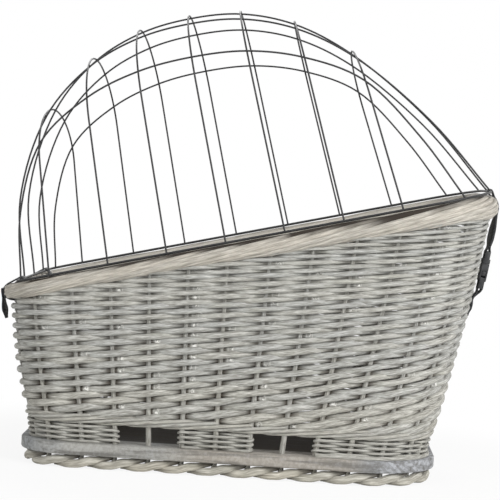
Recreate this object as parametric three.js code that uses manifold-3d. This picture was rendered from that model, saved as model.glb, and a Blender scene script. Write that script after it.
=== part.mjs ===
// A wicker pet basket for a bicycle carrier, closed by a hinged wire cage.
// Millimetres, +Z up, +X from the low end to the high end, the near long side at -Y.
import * as THREE from 'three';
import { mergeVertices } from 'three/addons/utils/BufferGeometryUtils.js';
import Module from 'manifold-3d';

const wasm = await Module();
wasm.setup();

const degree = Math.PI / 180;

// Clearance between pieces that touch
const seatGap = 0.3;

// Plan of the stake line on the base, measured from the middle of the slot pattern
const baseLeft = -200;
const baseRight = 225.5;
const baseHalfWidth = 122;
const baseLeftRadius = 40;
const baseRightRadius = 70;

// Foot border, board and stakes
const footHeight = 11.5;
const footWidth = 18;
const footRounding = 3.5;
const boardLift = 3.5;
const boardThickness = 13;
const boardOverhang = 6;
const boardChamfer = 1.5;
const stakeDiameter = 6;
const stakePitch = 35.7;

// Woven wall
const weaverThickness = 4;
const lowerWeaveHeight = 19;
const waleHeight = 12.5;
const waleThickness = 6;
const waleRounding = 1.8;
const wallBulge = 3;
const rowPitch = 7.15;
const rowReach = 386;
const weaveRelief = 6;
const droppedRows = 10;
const climbSwing = 0.35;

// Rim: a plane that climbs to the high end, through the cage's ring wire
const rimSlope = 13.8 * degree;
const rimHeight = 251;
const rimLeft = -233;
const rimRight = 282;
const rimHalfWidth = 150;
const rimLeftRadius = 45;
const rimRightRadius = 80;
const borderWidth = 26;
const borderHeight = 28;
const lowBorderHeight = 18;
const borderOverhang = 1.4;

// Wire cage
const ringDiameter = 2.8;
const wireDiameter = 2;
const ringLeft = -227;
const ringRight = 291.5;
const ringLeftRadius = 25;
const ringRightDepth = 60;
const ringRightSpread = 106;
const domeHeight = 253;
const domeApex = 0;
const domeLowFullness = 2.2;
const domeHighFullness = 2.35;
const ribCount = 7;
const ribPitch = 63.2;
const ribFan = 0.9;
const ribShoulder = 0.68;
const lowerWireAngle = 20 * degree;
const upperWireAngle = 57.5 * degree;
const lowerWireInset = 9;
const upperWireShare = 0.5;

// Hinge straps at the low end
const hingeStrapWidth = 18;
const hingeStrapThickness = 1.6;
const hingeCornerGap = 2;
const hingeTailLength = 28;
const hingeTailTip = 7;

// Closure strap and side-release buckle at the high end
const webbingWidth = 20;
const webbingThickness = 2.6;
const webbingLoop = 1.6;
const closureOffset = -34;
const closureLean = 22.8 * degree;
const closureReach = 46;
const anchorDrop = 91;
const anchorLength = 14;
const buckleWidth = 26;
const buckleThickness = 8;
const buckleRail = 2.4;
const buckleBarDiameter = 3.2;
const buckleFrameLength = 8.5;
const maleFlange = 5;
const femaleLength = 20;
const socketDepth = 16.8;
const socketWall = 1.6;
const socketSideWall = 2.7;
const tongueWidth = 4.4;
const tongueLength = 13;
const armLength = 15.4;
const padLength = 6.8;
const padReach = 3.2;
const armTravel = 3;

// Facets
const tubeSides = 6;
const stakeSides = 6;
const wireSteps = 3;
const legAngles = 3;
const loopFacets = 32;
const eyeFacets = 16;
const borderSides = 12;
const ringSides = 8;
const bendSteps = 12;
const insideShares = [0, 0.5, 1];
const borderBends = [20, 8, -4, -16];
const outlineDivisions = [3, 6, 2, 6, 6, 4, 3, 4, 3];

// Heights worked out from the stack of pieces
const stakeRadius = stakeDiameter / 2;
const boardBottom = footHeight + boardLift;
const boardTop = boardBottom + boardThickness;
const lowerWeaveBottom = boardTop + seatGap;
const lowerWeaveTop = lowerWeaveBottom + lowerWeaveHeight;
const waleBottom = lowerWeaveTop + seatGap;
const waleTop = waleBottom + waleHeight;
const wallBottom = waleTop + seatGap;
const wallHalf = stakeRadius + weaverThickness;
const lowerWireFoot = rimHalfWidth - lowerWireInset;
const upperWireFoot = rimHalfWidth * upperWireShare;
const ringRadius = ringDiameter / 2;
const wireRadius = wireDiameter / 2;
const borderTop = -ringRadius - seatGap;
const hingeStrapOffset = rimHalfWidth - rimLeftRadius - hingeStrapWidth / 2 - hingeCornerGap;

// The border is lower at the low end
const borderHeightAt = (u) =>
  THREE.MathUtils.mapLinear(u, rimLeft, rimRight, lowBorderHeight, borderHeight);
const borderMiddleAt = (u) => borderTop - borderHeightAt(u) / 2;
const wallTopAt = (u) => borderTop - borderHeightAt(u) - seatGap;

const material = (color, roughness, metalness = 0) =>
  new THREE.MeshStandardMaterial({ color, roughness, metalness });
const willow = () => material(0xb3ab9b, 0.85);
const paleWillow = () => material(0xc4baa6, 0.85);
const washedWood = () => material(0x9f9c95, 0.8);
const blackWire = () => material(0x24262a, 0.45, 0.6);
const webbing = () => material(0x2a2b2e, 0.9);
const blackPlastic = () => material(0x1b1c1e, 0.5);

const part = new THREE.Group();
const basket = new THREE.Group();
part.add(basket);
const rim = new THREE.Group();
rim.position.z = rimHeight;
rim.rotation.y = -rimSlope;
rim.updateMatrix();
basket.add(rim);

function addPiece(group, name, geometry, finish) {
  const mesh = new THREE.Mesh(geometry, finish);
  mesh.name = name;
  group.add(mesh);
  return mesh;
}

const rimToBase = (u, v, w) => new THREE.Vector3(u, v, w).applyMatrix4(rim.matrix);
const baseToRim = (point) => point.clone().applyMatrix4(rim.matrix.clone().invert());

// Closed bodies from point lists

function indexed(points, triangles) {
  const geometry = new THREE.BufferGeometry();
  const places = points.flatMap((point) => [point.x, point.y, point.z]);
  geometry.setAttribute('position', new THREE.Float32BufferAttribute(places, 3));
  geometry.setIndex(triangles.flat());
  return geometry;
}

// Rings of points round a closed path, each ring a closed section
function ringSolid(sections) {
  const size = sections[0].length;
  const triangles = [];
  sections.forEach((_, i) => {
    const next = (i + 1) % sections.length;
    for (let k = 0; k < size; k += 1) {
      const after = (k + 1) % size;
      const a = i * size + k;
      const b = next * size + k;
      const c = next * size + after;
      const d = i * size + after;
      triangles.push([a, b, c], [a, c, d]);
    }
  });
  return indexed(sections.flat(), triangles);
}

// Sections with unlike numbers of points, each point with its place on the way round its section
function zippedSolid(sections) {
  const starts = [0];
  for (const section of sections) starts.push(starts[starts.length - 1] + section.length);
  const triangles = [];
  sections.forEach((here, i) => {
    const next = (i + 1) % sections.length;
    const there = sections[next];
    const reach = (section, k) => (k < section.length ? section[k].at : Infinity);
    let [k, m] = [0, 0];
    while (k < here.length || m < there.length) {
      const a = starts[i] + (k % here.length);
      const b = starts[next] + (m % there.length);
      if (m >= there.length || (k < here.length && reach(here, k + 1) <= reach(there, m + 1))) {
        k += 1;
        triangles.push([a, b, starts[i] + (k % here.length)]);
      } else {
        m += 1;
        triangles.push([a, b, starts[next] + (m % there.length)]);
      }
    }
  });
  return indexed(sections.flat().map(({ point }) => point), triangles);
}

// Level outlines with the same number of points, stacked from the lowest up
function stackSolid(levels) {
  const loops = [levels[0].contour, ...levels[0].holes];
  const size = loops.reduce((sum, loop) => sum + loop.length, 0);
  const points = levels.flatMap(({ z, contour, holes }) =>
    [contour, ...holes].flat().map((p) => new THREE.Vector3(p.x, p.y, z)));
  const top = (levels.length - 1) * size;
  const triangles = [];
  for (const [a, b, c] of THREE.ShapeUtils.triangulateShape(levels[0].contour, levels[0].holes)) {
    triangles.push([a, c, b]);
  }
  const last = levels[levels.length - 1];
  for (const [a, b, c] of THREE.ShapeUtils.triangulateShape(last.contour, last.holes)) {
    triangles.push([top + a, top + b, top + c]);
  }
  for (let level = 0; level < levels.length - 1; level += 1) {
    let start = level * size;
    for (const loop of loops) {
      for (let k = 0; k < loop.length; k += 1) {
        const a = start + k;
        const b = start + ((k + 1) % loop.length);
        triangles.push([a, b, b + size], [a, b + size, a + size]);
      }
      start += loop.length;
    }
  }
  return indexed(points, triangles);
}

// A wire whose facets turn exactly at the given points
class WirePath extends THREE.Curve {
  constructor(points) {
    super();
    this.points = points;
  }

  getPoint(t) {
    const place = t * (this.points.length - 1);
    const first = Math.min(Math.floor(place), this.points.length - 2);
    return this.points[first].clone().lerp(this.points[first + 1], place - first);
  }

  getPointAt(t) {
    return this.getPoint(t);
  }

  getTangentAt(t) {
    const place = Math.round(t * (this.points.length - 1));
    const before = this.points[Math.max(place - 1, 0)];
    const after = this.points[Math.min(place + 1, this.points.length - 1)];
    return after.clone().sub(before).normalize();
  }
}

function circlePoints(radius, sides, x = 0, y = 0) {
  return Array.from({ length: sides }, (_, k) => {
    const angle = (2 * Math.PI * (k + 0.5)) / sides;
    return new THREE.Vector2(x + radius * Math.cos(angle), y + radius * Math.sin(angle));
  });
}

// The corner radius of a polygon that a circle just fits in
const roundedOut = (radius, sides) => radius / Math.cos(Math.PI / sides);

function wire(points, radius) {
  const section = new THREE.Shape(circlePoints(radius, tubeSides));
  return new THREE.ExtrudeGeometry(section, { steps: points.length - 1, extrudePath: new WirePath(points) });
}

// Joins and cuts

function toSolid(geometry) {
  const bare = geometry.clone();
  bare.deleteAttribute('normal');
  bare.deleteAttribute('uv');
  const merged = mergeVertices(bare, 1e-4);
  return new wasm.Manifold(new wasm.Mesh({
    numProp: 3,
    vertProperties: new Float32Array(merged.attributes.position.array),
    triVerts: new Uint32Array(merged.index.array),
  }));
}

function fromSolid(solid) {
  const mesh = solid.getMesh();
  const geometry = new THREE.BufferGeometry();
  geometry.setAttribute('position', new THREE.BufferAttribute(mesh.vertProperties, 3));
  geometry.setIndex(new THREE.BufferAttribute(mesh.triVerts, 1));
  return geometry;
}

const join = (...pieces) => fromSolid(pieces.map(toSolid).reduce((sum, piece) => sum.add(piece)));
const cut = (body, ...tools) =>
  fromSolid(tools.map(toSolid).reduce((left, tool) => left.subtract(tool), toSolid(body)));

function block(x0, x1, y0, y1, z0, z1) {
  const box = new THREE.BoxGeometry(x1 - x0, y1 - y0, z1 - z0);
  return box.translate((x0 + x1) / 2, (y0 + y1) / 2, (z0 + z1) / 2);
}

// Oblong outlines with round corners, as nine curves run anticlockwise from the near middle

function oblong({ left, right, half, leftRadius, rightDepth, rightSpread }, grow = 0) {
  const [x0, x1, h] = [left - grow, right + grow, half + grow];
  const [rl, rx, ry] = [leftRadius + grow, rightDepth + grow, rightSpread + grow];
  const line = (ax, ay, bx, by) => new THREE.LineCurve(new THREE.Vector2(ax, ay), new THREE.Vector2(bx, by));
  const corner = (x, y, depth, spread, quarter) =>
    new THREE.EllipseCurve(x, y, depth, spread, quarter * 90 * degree, (quarter + 1) * 90 * degree);
  return [
    line(0, -h, x1 - rx, -h),
    corner(x1 - rx, -h + ry, rx, ry, -1),
    line(x1, -h + ry, x1, h - ry),
    corner(x1 - rx, h - ry, rx, ry, 0),
    line(x1 - rx, h, x0 + rl, h),
    corner(x0 + rl, h - rl, rl, rl, 1),
    line(x0, h - rl, x0, -h + rl),
    corner(x0 + rl, -h + rl, rl, rl, 2),
    line(x0 + rl, -h, 0, -h),
  ];
}

const stations = outlineDivisions.flatMap((count, curve) =>
  Array.from({ length: count }, (_, k) => ({ curve, share: k / count })));

// The corners alone, for level faces whose straight edges need no points between
const cornerPlaces = [1, 3, 5, 7].flatMap((curve) => {
  const count = outlineDivisions[curve];
  return Array.from({ length: count + 1 }, (_, k) => ({ curve, share: k / count }));
});
const highEndMiddle = { curve: 2, share: 0.5 };

const onOutline = (outline, { curve, share }) => outline[curve].getPoint(share);

function outwards(outline, { curve, share }) {
  const along = outline[curve].getTangent(share);
  return new THREE.Vector3(along.y, -along.x, 0);
}

const basePlan = {
  left: baseLeft,
  right: baseRight,
  half: baseHalfWidth,
  leftRadius: baseLeftRadius,
  rightDepth: baseRightRadius,
  rightSpread: baseRightRadius,
};
const rimPlan = {
  left: rimLeft,
  right: rimRight,
  half: rimHalfWidth,
  leftRadius: rimLeftRadius,
  rightDepth: rimRightRadius,
  rightSpread: rimRightRadius,
};
const ringPlan = {
  left: ringLeft,
  right: ringRight,
  half: rimHalfWidth,
  leftRadius: ringLeftRadius,
  rightDepth: ringRightDepth,
  rightSpread: ringRightSpread,
};

// The border hangs over the wall at the low end
const borderLeft = rimLeft - borderOverhang;
const stakeLine = oblong(basePlan);
const wallHead = oblong(rimPlan);
const borderLine = oblong({ ...rimPlan, left: borderLeft });
const ringLine = oblong(ringPlan);

// The flared wall runs straight from the stake line on the board to the middle of the border

function wallRun(place) {
  const foot = onOutline(stakeLine, place);
  const head = onOutline(wallHead, place);
  return {
    from: new THREE.Vector3(foot.x, foot.y, boardTop),
    to: rimToBase(head.x, head.y, borderMiddleAt(head.x)),
    out: outwards(stakeLine, place),
  };
}

function wallAtHeight(place, z, offset = 0) {
  const { from, to, out } = wallRun(place);
  return from.clone().lerp(to, (z - from.z) / (to.z - from.z)).addScaledVector(out, offset);
}

function wallUnderBorder(place, offset) {
  const { from, to, out } = wallRun(place);
  const [start, end] = [from, to].map((point) => point.clone().addScaledVector(out, offset));
  const [below, above] = [start, end].map(baseToRim).map(({ x, z }) => z - wallTopAt(x));
  return start.lerp(end, below / (below - above));
}

function wallFace(place, share, offset) {
  const low = wallAtHeight(place, wallBottom, offset);
  const high = wallUnderBorder(place, offset);
  const { out } = wallRun(place);
  return low.lerp(high, share).addScaledVector(out, 4 * wallBulge * share * (1 - share));
}

// Eight points of a rectangle with cut corners, in the plane of two directions
function softRectangle(middle, across, up, width, height, rounding) {
  const [a, b] = [width / 2, height / 2];
  const corners = [
    [a, -b + rounding], [a, b - rounding], [a - rounding, b], [-a + rounding, b],
    [-a, b - rounding], [-a, -b + rounding], [-a + rounding, -b], [a - rounding, -b],
  ];
  return corners.map(([x, y]) => middle.clone().addScaledVector(across, x).addScaledVector(up, y));
}

const upright = new THREE.Vector3(0, 0, 1);

// Stakes stand at an even pitch on the long sides and share out the ends

const curveLengths = stakeLine.map((curve) => curve.getLength());
const outlineLength = curveLengths.reduce((sum, length) => sum + length);
const highHalfLength = curveLengths.slice(0, 4).reduce((sum, length) => sum + length);
const farMiddle = highHalfLength + baseRight - baseRightRadius;

function placeAlong(distance) {
  let rest = THREE.MathUtils.euclideanModulo(distance, outlineLength);
  let curve = 0;
  while (rest > curveLengths[curve] && curve < curveLengths.length - 1) {
    rest -= curveLengths[curve];
    curve += 1;
  }
  return { curve, share: Math.min(rest / curveLengths[curve], 1) };
}

const distanceOf = ({ curve, share }) =>
  curveLengths.slice(0, curve).reduce((sum, length) => sum + length, 0) + share * curveLengths[curve];

const sideReach = Math.floor(Math.min(curveLengths[0], curveLengths[8]) / stakePitch);
const slotSteps = [1, 2, 3];
const slotStakes = [];
const hiddenStakes = [];
for (const [side, middle] of [['near', 0], ['far', farMiddle]]) {
  for (let step = -sideReach; step <= sideReach; step += 1) {
    const stake = { side, step, distance: middle + step * stakePitch };
    (slotSteps.includes(Math.abs(step)) ? slotStakes : hiddenStakes).push(stake);
  }
  const start = middle + sideReach * stakePitch;
  const end = (side === 'near' ? farMiddle : outlineLength) - sideReach * stakePitch;
  const spaces = Math.round((end - start) / stakePitch);
  for (let k = 1; k < spaces; k += 1) {
    hiddenStakes.push({ distance: start + (k * (end - start)) / spaces });
  }
}

// Foot border with the ends of the stakes that the weave hides

function footBorder() {
  const sections = stations.map((place) => {
    const middle = onOutline(stakeLine, place);
    const centre = new THREE.Vector3(middle.x, middle.y, footHeight / 2);
    return softRectangle(centre, outwards(stakeLine, place), upright, footWidth, footHeight, footRounding);
  });
  const pegs = hiddenStakes.map(({ distance }) => {
    const { x, y } = onOutline(stakeLine, placeAlong(distance));
    const contour = circlePoints(stakeRadius, stakeSides, x, y);
    return stackSolid([{ z: footHeight / 2, contour, holes: [] }, { z: boardTop, contour, holes: [] }]);
  });
  return join(ringSolid(sections), ...pegs);
}
addPiece(basket, 'foot_border', footBorder(), paleWillow());

function baseBoard() {
  const edge = (inset) => {
    const outline = oblong(basePlan, wallHalf + boardOverhang - inset);
    return cornerPlaces.map((place) => onOutline(outline, place));
  };
  const holeRadius = roundedOut(stakeRadius + seatGap, tubeSides);
  const holes = [...slotStakes, ...hiddenStakes].map(({ distance }) => {
    const { x, y } = onOutline(stakeLine, placeAlong(distance));
    const contour = circlePoints(holeRadius, tubeSides, x, y);
    return stackSolid([0, boardTop + boardBottom].map((z) => ({ z, contour, holes: [] })));
  });
  const board = stackSolid([
    { z: boardBottom, contour: edge(boardChamfer), holes: [] },
    { z: boardBottom + boardChamfer, contour: edge(0), holes: [] },
    { z: boardTop - boardChamfer, contour: edge(0), holes: [] },
    { z: boardTop, contour: edge(boardChamfer), holes: [] },
  ]);
  return cut(board, ...holes);
}
addPiece(basket, 'base_board', baseBoard(), washedWood());

// Stakes that show in the slots run from the foot border up to the side weave
for (const { side, step, distance } of slotStakes) {
  const place = placeAlong(distance);
  const root = onOutline(stakeLine, place);
  const head = wallAtHeight(place, waleTop);
  const level = (z, { x, y }) => ({ z, contour: circlePoints(stakeRadius, stakeSides, x, y), holes: [] });
  const rod = stackSolid([level(footHeight + seatGap, root), level(boardTop, root), level(waleTop, head)]);
  const order = step < 0 ? slotSteps.length + step : slotSteps.length + step - 1;
  addPiece(basket, `stake_${side}_${order + 1}`, rod, willow());
}

// Lower weave: bands between board and wale whose rods turn back round the slot's side stakes
function lowerWeave(from, to) {
  const corners = cornerPlaces.map(distanceOf).filter((distance) => distance > from && distance < to);
  const places = [from, ...corners, to].map(placeAlong);
  const count = places.length - 1;
  const holeRadius = roundedOut(stakeRadius + seatGap, tubeSides);
  const inPlan = (point) => new THREE.Vector2(point.x, point.y);
  const pivot = new THREE.Vector2();
  const turn = (place, z, start) => {
    const middle = inPlan(wallAtHeight(place, z));
    const side = inPlan(outwards(stakeLine, place)).multiplyScalar(wallHalf);
    return [45, 90, 135].map((angle) =>
      side.clone().rotateAround(pivot, (start + angle) * degree).add(middle));
  };
  const level = (z) => ({
    z,
    contour: [
      ...places.map((place) => inPlan(wallAtHeight(place, z, wallHalf))),
      ...turn(places[count], z, 0),
      ...places.toReversed().map((place) => inPlan(wallAtHeight(place, z, -wallHalf))),
      ...turn(places[0], z, 180),
    ],
    holes: [places[0], places[count]].map((place) => {
      const middle = wallAtHeight(place, z);
      return circlePoints(holeRadius, tubeSides, middle.x, middle.y).reverse();
    }),
  });
  return stackSolid([level(lowerWeaveBottom), level(lowerWeaveTop)]);
}
const slotNear = slotSteps[0] * stakePitch;
const slotFar = slotSteps[slotSteps.length - 1] * stakePitch;
addPiece(basket, 'lower_weave_near_middle', lowerWeave(-slotNear, slotNear), willow());
addPiece(basket, 'lower_weave_high_end', lowerWeave(slotFar, farMiddle - slotFar), willow());
addPiece(basket, 'lower_weave_far_middle', lowerWeave(farMiddle - slotNear, farMiddle + slotNear), willow());
addPiece(basket, 'lower_weave_low_end', lowerWeave(farMiddle + slotFar, outlineLength - slotFar), willow());

// Wale: a hoop of thicker rods outside the stakes and one inside
function waleHoop(direction) {
  const offset = direction * (stakeRadius + seatGap + waleThickness / 2);
  return ringSolid(stations.map((place) => {
    const low = wallAtHeight(place, waleBottom, offset);
    const high = wallAtHeight(place, waleTop, offset);
    const up = high.clone().sub(low).divideScalar(waleHeight);
    const middle = low.lerp(high, 0.5);
    return softRectangle(middle, outwards(stakeLine, place), up, waleThickness, waleHeight, waleRounding);
  }));
}
addPiece(basket, 'wale_outer', waleHoop(1), paleWillow());
addPiece(basket, 'wale_inner', waleHoop(-1), paleWillow());

// Side weave: the flared wall, whose rods pass in turn before and behind each stake while they climb

const stakeDistances = [...slotStakes, ...hiddenStakes].map(({ distance }) =>
  THREE.MathUtils.euclideanModulo(distance, outlineLength)).sort((a, b) => a - b);
const stakeCount = stakeDistances.length;
const highEndTurn = distanceOf(highEndMiddle) / outlineLength;

// Rows that the rods have dropped behind one row for each stake, with the steepest climb at the high end
function rowsDropped(turn) {
  const fullTurn = 2 * Math.PI;
  const swing = Math.sin(fullTurn * (turn - highEndTurn)) + Math.sin(fullTurn * highEndTurn);
  return droppedRows * turn - (climbSwing * stakeCount * swing) / fullTurn;
}

// Rows grow thinner with height
const rowHeight = (row) => rowReach * (1 - Math.exp((-row * rowPitch) / rowReach));

// Rods in front lie on ridges that run level with their bulge over each stake and dip between the stakes
const evenOffset = wallHalf - weaveRelief / 2;

function ridgeRows(distance, step) {
  const height = wallFace(placeAlong(distance), 1, 0).z - wallBottom;
  const firstFront = THREE.MathUtils.euclideanModulo(1 - rowsDropped(distance / outlineLength), 2);
  const count = Math.ceil(height / (step * weaverThickness));
  const edge = weaverThickness / 2 / height;
  return Array.from({ length: count + 1 }, (_, k) => k)
    .map((k) => ({ row: firstFront + (k - 1) * step, front: k % 2 === 1 }))
    .filter(({ row }) => row > 0)
    .map(({ row, front }) => ({ share: rowHeight(row) / height, front }))
    .filter(({ share }) => share > edge && share < 1 - edge);
}

// One upright section of the wall, from the outside's foot over the top to the inside's foot
function weaveSection(distance, rows) {
  const place = placeAlong(distance);
  const ends = [0, 1].map((share) => ({ share, offset: evenOffset }));
  const outside = [ends[0], ...rows, ends[1]];
  const inside = insideShares.toReversed();
  return [
    ...outside.map(({ share, offset }) => ({ at: share, point: wallFace(place, share, offset) })),
    ...inside.map((share) => ({ at: 3 - share, point: wallFace(place, share, -wallHalf) })),
  ];
}

function stakeSection(distance) {
  const rows = ridgeRows(distance, 1);
  return weaveSection(distance, rows.map(({ share, front }) =>
    ({ share, offset: front ? wallHalf : wallHalf - weaveRelief })));
}

function betweenSection(distance) {
  const rows = ridgeRows(distance, 2);
  return weaveSection(distance, rows.map(({ share }) => ({ share, offset: evenOffset })));
}

// Notches at the low end let the hinge straps pass under the border
const hingeSides = [['near', -hingeStrapOffset], ['far', hingeStrapOffset]];
const hingeBorderHeight = borderHeightAt(borderLeft);
const hingeBorderMiddle = borderMiddleAt(borderLeft);

function sideWeave() {
  const sections = stakeDistances.flatMap((distance, k) => {
    const next = k + 1 < stakeCount ? stakeDistances[k + 1] : stakeDistances[0] + outlineLength;
    return [stakeSection(distance), betweenSection((distance + next) / 2)];
  });
  const floor = wallTopAt(borderLeft) - hingeStrapThickness - seatGap;
  const half = hingeStrapWidth / 2 + seatGap;
  const [u0, u1] = [borderLeft - borderWidth / 2, borderLeft + borderWidth / 2];
  const notches = hingeSides.map(([, v]) =>
    block(u0, u1, v - half, v + half, floor, hingeBorderMiddle).applyMatrix4(rim.matrix));
  return cut(zippedSolid(sections), ...notches);
}
addPiece(basket, 'side_weave', sideWeave(), willow());

// Rolled rim border
function ovalSection(centre, across, width, height, sides) {
  return Array.from({ length: sides }, (_, k) => {
    const angle = (2 * Math.PI * k) / sides;
    const point = centre.clone().addScaledVector(across, (width / 2) * Math.cos(angle));
    return point.addScaledVector(upright, (height / 2) * Math.sin(angle));
  });
}

function sweptOval(outline, middleAt, width, heightAt, sides) {
  return ringSolid(stations.map((place) => {
    const { x, y } = onOutline(outline, place);
    const centre = new THREE.Vector3(x, y, middleAt(x));
    return ovalSection(centre, outwards(outline, place), width, heightAt(x), sides);
  }));
}
const rolledBorder = sweptOval(borderLine, borderMiddleAt, borderWidth, borderHeightAt, borderSides);
addPiece(rim, 'rim_border', rolledBorder, paleWillow());

// Wire cage
const cage = new THREE.Group();
rim.add(cage);
const ringWire = sweptOval(ringLine, () => 0, ringDiameter, () => ringDiameter, ringSides);
addPiece(cage, 'ring_wire', ringWire, blackWire());

// The cage's profile stands upright on the low end and slants down to the high end
function domeAt(u) {
  const high = u > domeApex;
  const share = (u - domeApex) / ((high ? ringRight : ringLeft) - domeApex);
  if (high) return domeHeight * (1 - share ** domeHighFullness);
  return domeHeight * (1 - share ** domeLowFullness) ** (1 / domeLowFullness);
}

function domeReach(w, high) {
  const rise = w / domeHeight;
  const highShare = (1 - rise) ** (1 / domeHighFullness);
  const lowShare = (1 - rise ** domeLowFullness) ** (1 / domeLowFullness);
  return domeApex + (high ? highShare * (ringRight - domeApex) : lowShare * (ringLeft - domeApex));
}

const ribs = Array.from({ length: ribCount }, (_, k) => {
  const foot = (k - (ribCount - 1) / 2) * ribPitch;
  const top = domeApex + ribFan * (foot - domeApex);
  return { foot, lean: (top - foot) / domeAt(top), height: domeAt(top) };
});

// A point of a rib's arch at an angle from its near shoulder
function archPoint(rib, angle) {
  const rise = rib.height * (1 - ribShoulder);
  const w = rib.height * ribShoulder + rise * Math.sin(angle);
  return new THREE.Vector3(rib.foot + rib.lean * w, -rimHalfWidth * Math.cos(angle), w);
}

function ribPoints(rib) {
  const bends = [0, lowerWireAngle, upperWireAngle, 90 * degree];
  const angles = bends.slice(0, -1).flatMap((angle, k) =>
    Array.from({ length: legAngles }, (_, j) => angle + (j * (bends[k + 1] - angle)) / legAngles));
  const near = angles.map((angle) => archPoint(rib, angle));
  const crown = archPoint(rib, 90 * degree);
  const w = ringRadius + seatGap;
  const foot = new THREE.Vector3(rib.foot + rib.lean * w, -rimHalfWidth, w);
  const mirrored = [...near].reverse().concat(foot).map((p) => new THREE.Vector3(p.x, -p.y, p.z));
  return [foot, ...near, crown, ...mirrored];
}
ribs.forEach((rib, k) => addPiece(cage, `cage_rib_${k + 1}`, wire(ribPoints(rib), wireRadius), blackWire()));

// Where a long wire's foot stands on the ring's end
function ringEnd(v, high) {
  const spread = high ? ringRightSpread : ringLeftRadius;
  const past = Math.max(Math.abs(v) - (rimHalfWidth - spread), 0) / spread;
  const back = 1 - Math.sqrt(1 - past ** 2);
  return high ? ringRight - ringRightDepth * back : ringLeft + ringLeftRadius * back;
}

// Long wires pass inside the ribs and come down on the ring's ends
function longWire(angle, footV) {
  const crossings = ribs.map((rib) => archPoint(rib, angle));
  const footW = ringRadius + seatGap + wireRadius / 2;
  const end = (high) => {
    const foot = new THREE.Vector3(ringEnd(footV, high), footV, footW);
    const endRib = high ? ribCount - 1 : 0;
    const rib = ribs[endRib];
    const chord = ((high ? ringRight : ringLeft) + archPoint(rib, 90 * degree).x) / 2;
    const swell = (domeReach(rib.height / 2, high) - chord) * Math.sqrt(Math.sin(angle));
    const middle = foot.clone().lerp(crossings[endRib], 0.5);
    middle.x += swell;
    return high ? [middle, foot] : [foot, middle];
  };
  const lowEnd = end(false);
  const knots = [...lowEnd, ...crossings, ...end(true)];
  const firstRib = lowEnd.length;
  const inset = ribs.map((rib, k) => {
    const along = knots[k + firstRib + 1].clone().sub(knots[k + firstRib - 1]);
    const across = archPoint(rib, angle + degree).sub(archPoint(rib, angle - degree));
    const inwards = across.cross(along).normalize();
    return crossings[k].clone().addScaledVector(inwards, 2 * wireRadius + seatGap);
  });
  knots.splice(firstRib, ribCount, ...inset);
  const curve = new THREE.CatmullRomCurve3(knots, false, 'centripetal');
  return wire(curve.getPoints((knots.length - 1) * wireSteps), wireRadius);
}
const longWires = [
  ['near_lower', lowerWireAngle, -lowerWireFoot],
  ['near_upper', upperWireAngle, -upperWireFoot],
  ['centre', 90 * degree, 0],
  ['far_upper', 180 * degree - upperWireAngle, upperWireFoot],
  ['far_lower', 180 * degree - lowerWireAngle, lowerWireFoot],
];
for (const [name, angle, footV] of longWires) {
  addPiece(cage, `cage_wire_${name}`, longWire(angle, footV), blackWire());
}

// Straps are drawn as a profile in the plane of u and w and given their width along v

function strapFromProfile(profile, width, v) {
  const band = new THREE.ExtrudeGeometry(profile, { depth: width, bevelEnabled: false });
  return band.translate(0, 0, -width / 2).rotateX(90 * degree).translate(0, v, 0);
}

function hullOf(points) {
  const sorted = [...points].sort((a, b) => a.x - b.x || a.y - b.y);
  const chain = (list) => list.reduce((kept, point) => {
    const turnsRight = () => {
      const [a, b] = kept.slice(-2);
      return b.clone().sub(a).cross(point.clone().sub(b)) <= 0;
    };
    while (kept.length > 1 && turnsRight()) kept.pop();
    return [...kept, point];
  }, []);
  return [...chain(sorted).slice(0, -1), ...chain(sorted.toReversed()).slice(0, -1)];
}

// A hinge strap is a closed loop round the border and the ring's end wire, with a hanging tail
function hingeLoop(clearance) {
  const oval = circlePoints(1, loopFacets).map(({ x, y }) => new THREE.Vector2(
    borderLeft + x * (borderWidth / 2 + clearance),
    hingeBorderMiddle + y * (hingeBorderHeight / 2 + clearance),
  ));
  const reach = roundedOut(ringRadius + clearance, loopFacets);
  return hullOf([...oval, ...circlePoints(reach, loopFacets, ringLeft, 0)]);
}

function hingeStrap(v) {
  const profile = new THREE.Shape(hingeLoop(2 * seatGap + hingeStrapThickness));
  profile.holes.push(new THREE.Path(hingeLoop(2 * seatGap)));
  const loop = strapFromProfile(profile, hingeStrapWidth, v);
  const half = hingeStrapWidth / 2;
  const tongue = new THREE.Shape([
    new THREE.Vector2(half, 0),
    new THREE.Vector2(-half, 0),
    new THREE.Vector2(-half, -hingeTailLength + half),
    new THREE.Vector2(-hingeTailTip / 2, -hingeTailLength),
    new THREE.Vector2(hingeTailTip / 2, -hingeTailLength),
    new THREE.Vector2(half, -hingeTailLength + half),
  ]);
  const tail = new THREE.ExtrudeGeometry(tongue, { depth: hingeStrapThickness, bevelEnabled: false });
  tail.rotateX(90 * degree).rotateZ(90 * degree);
  const outermost = borderLeft - borderWidth / 2 - 2 * seatGap - hingeStrapThickness;
  tail.translate(outermost, v, hingeBorderMiddle);
  return join(loop, tail);
}
for (const [side, v] of hingeSides) addPiece(rim, `hinge_strap_${side}`, hingeStrap(v), webbing());

// Closure strap: over the border's outside, straight down to the buckle, then in to the wall

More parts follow.
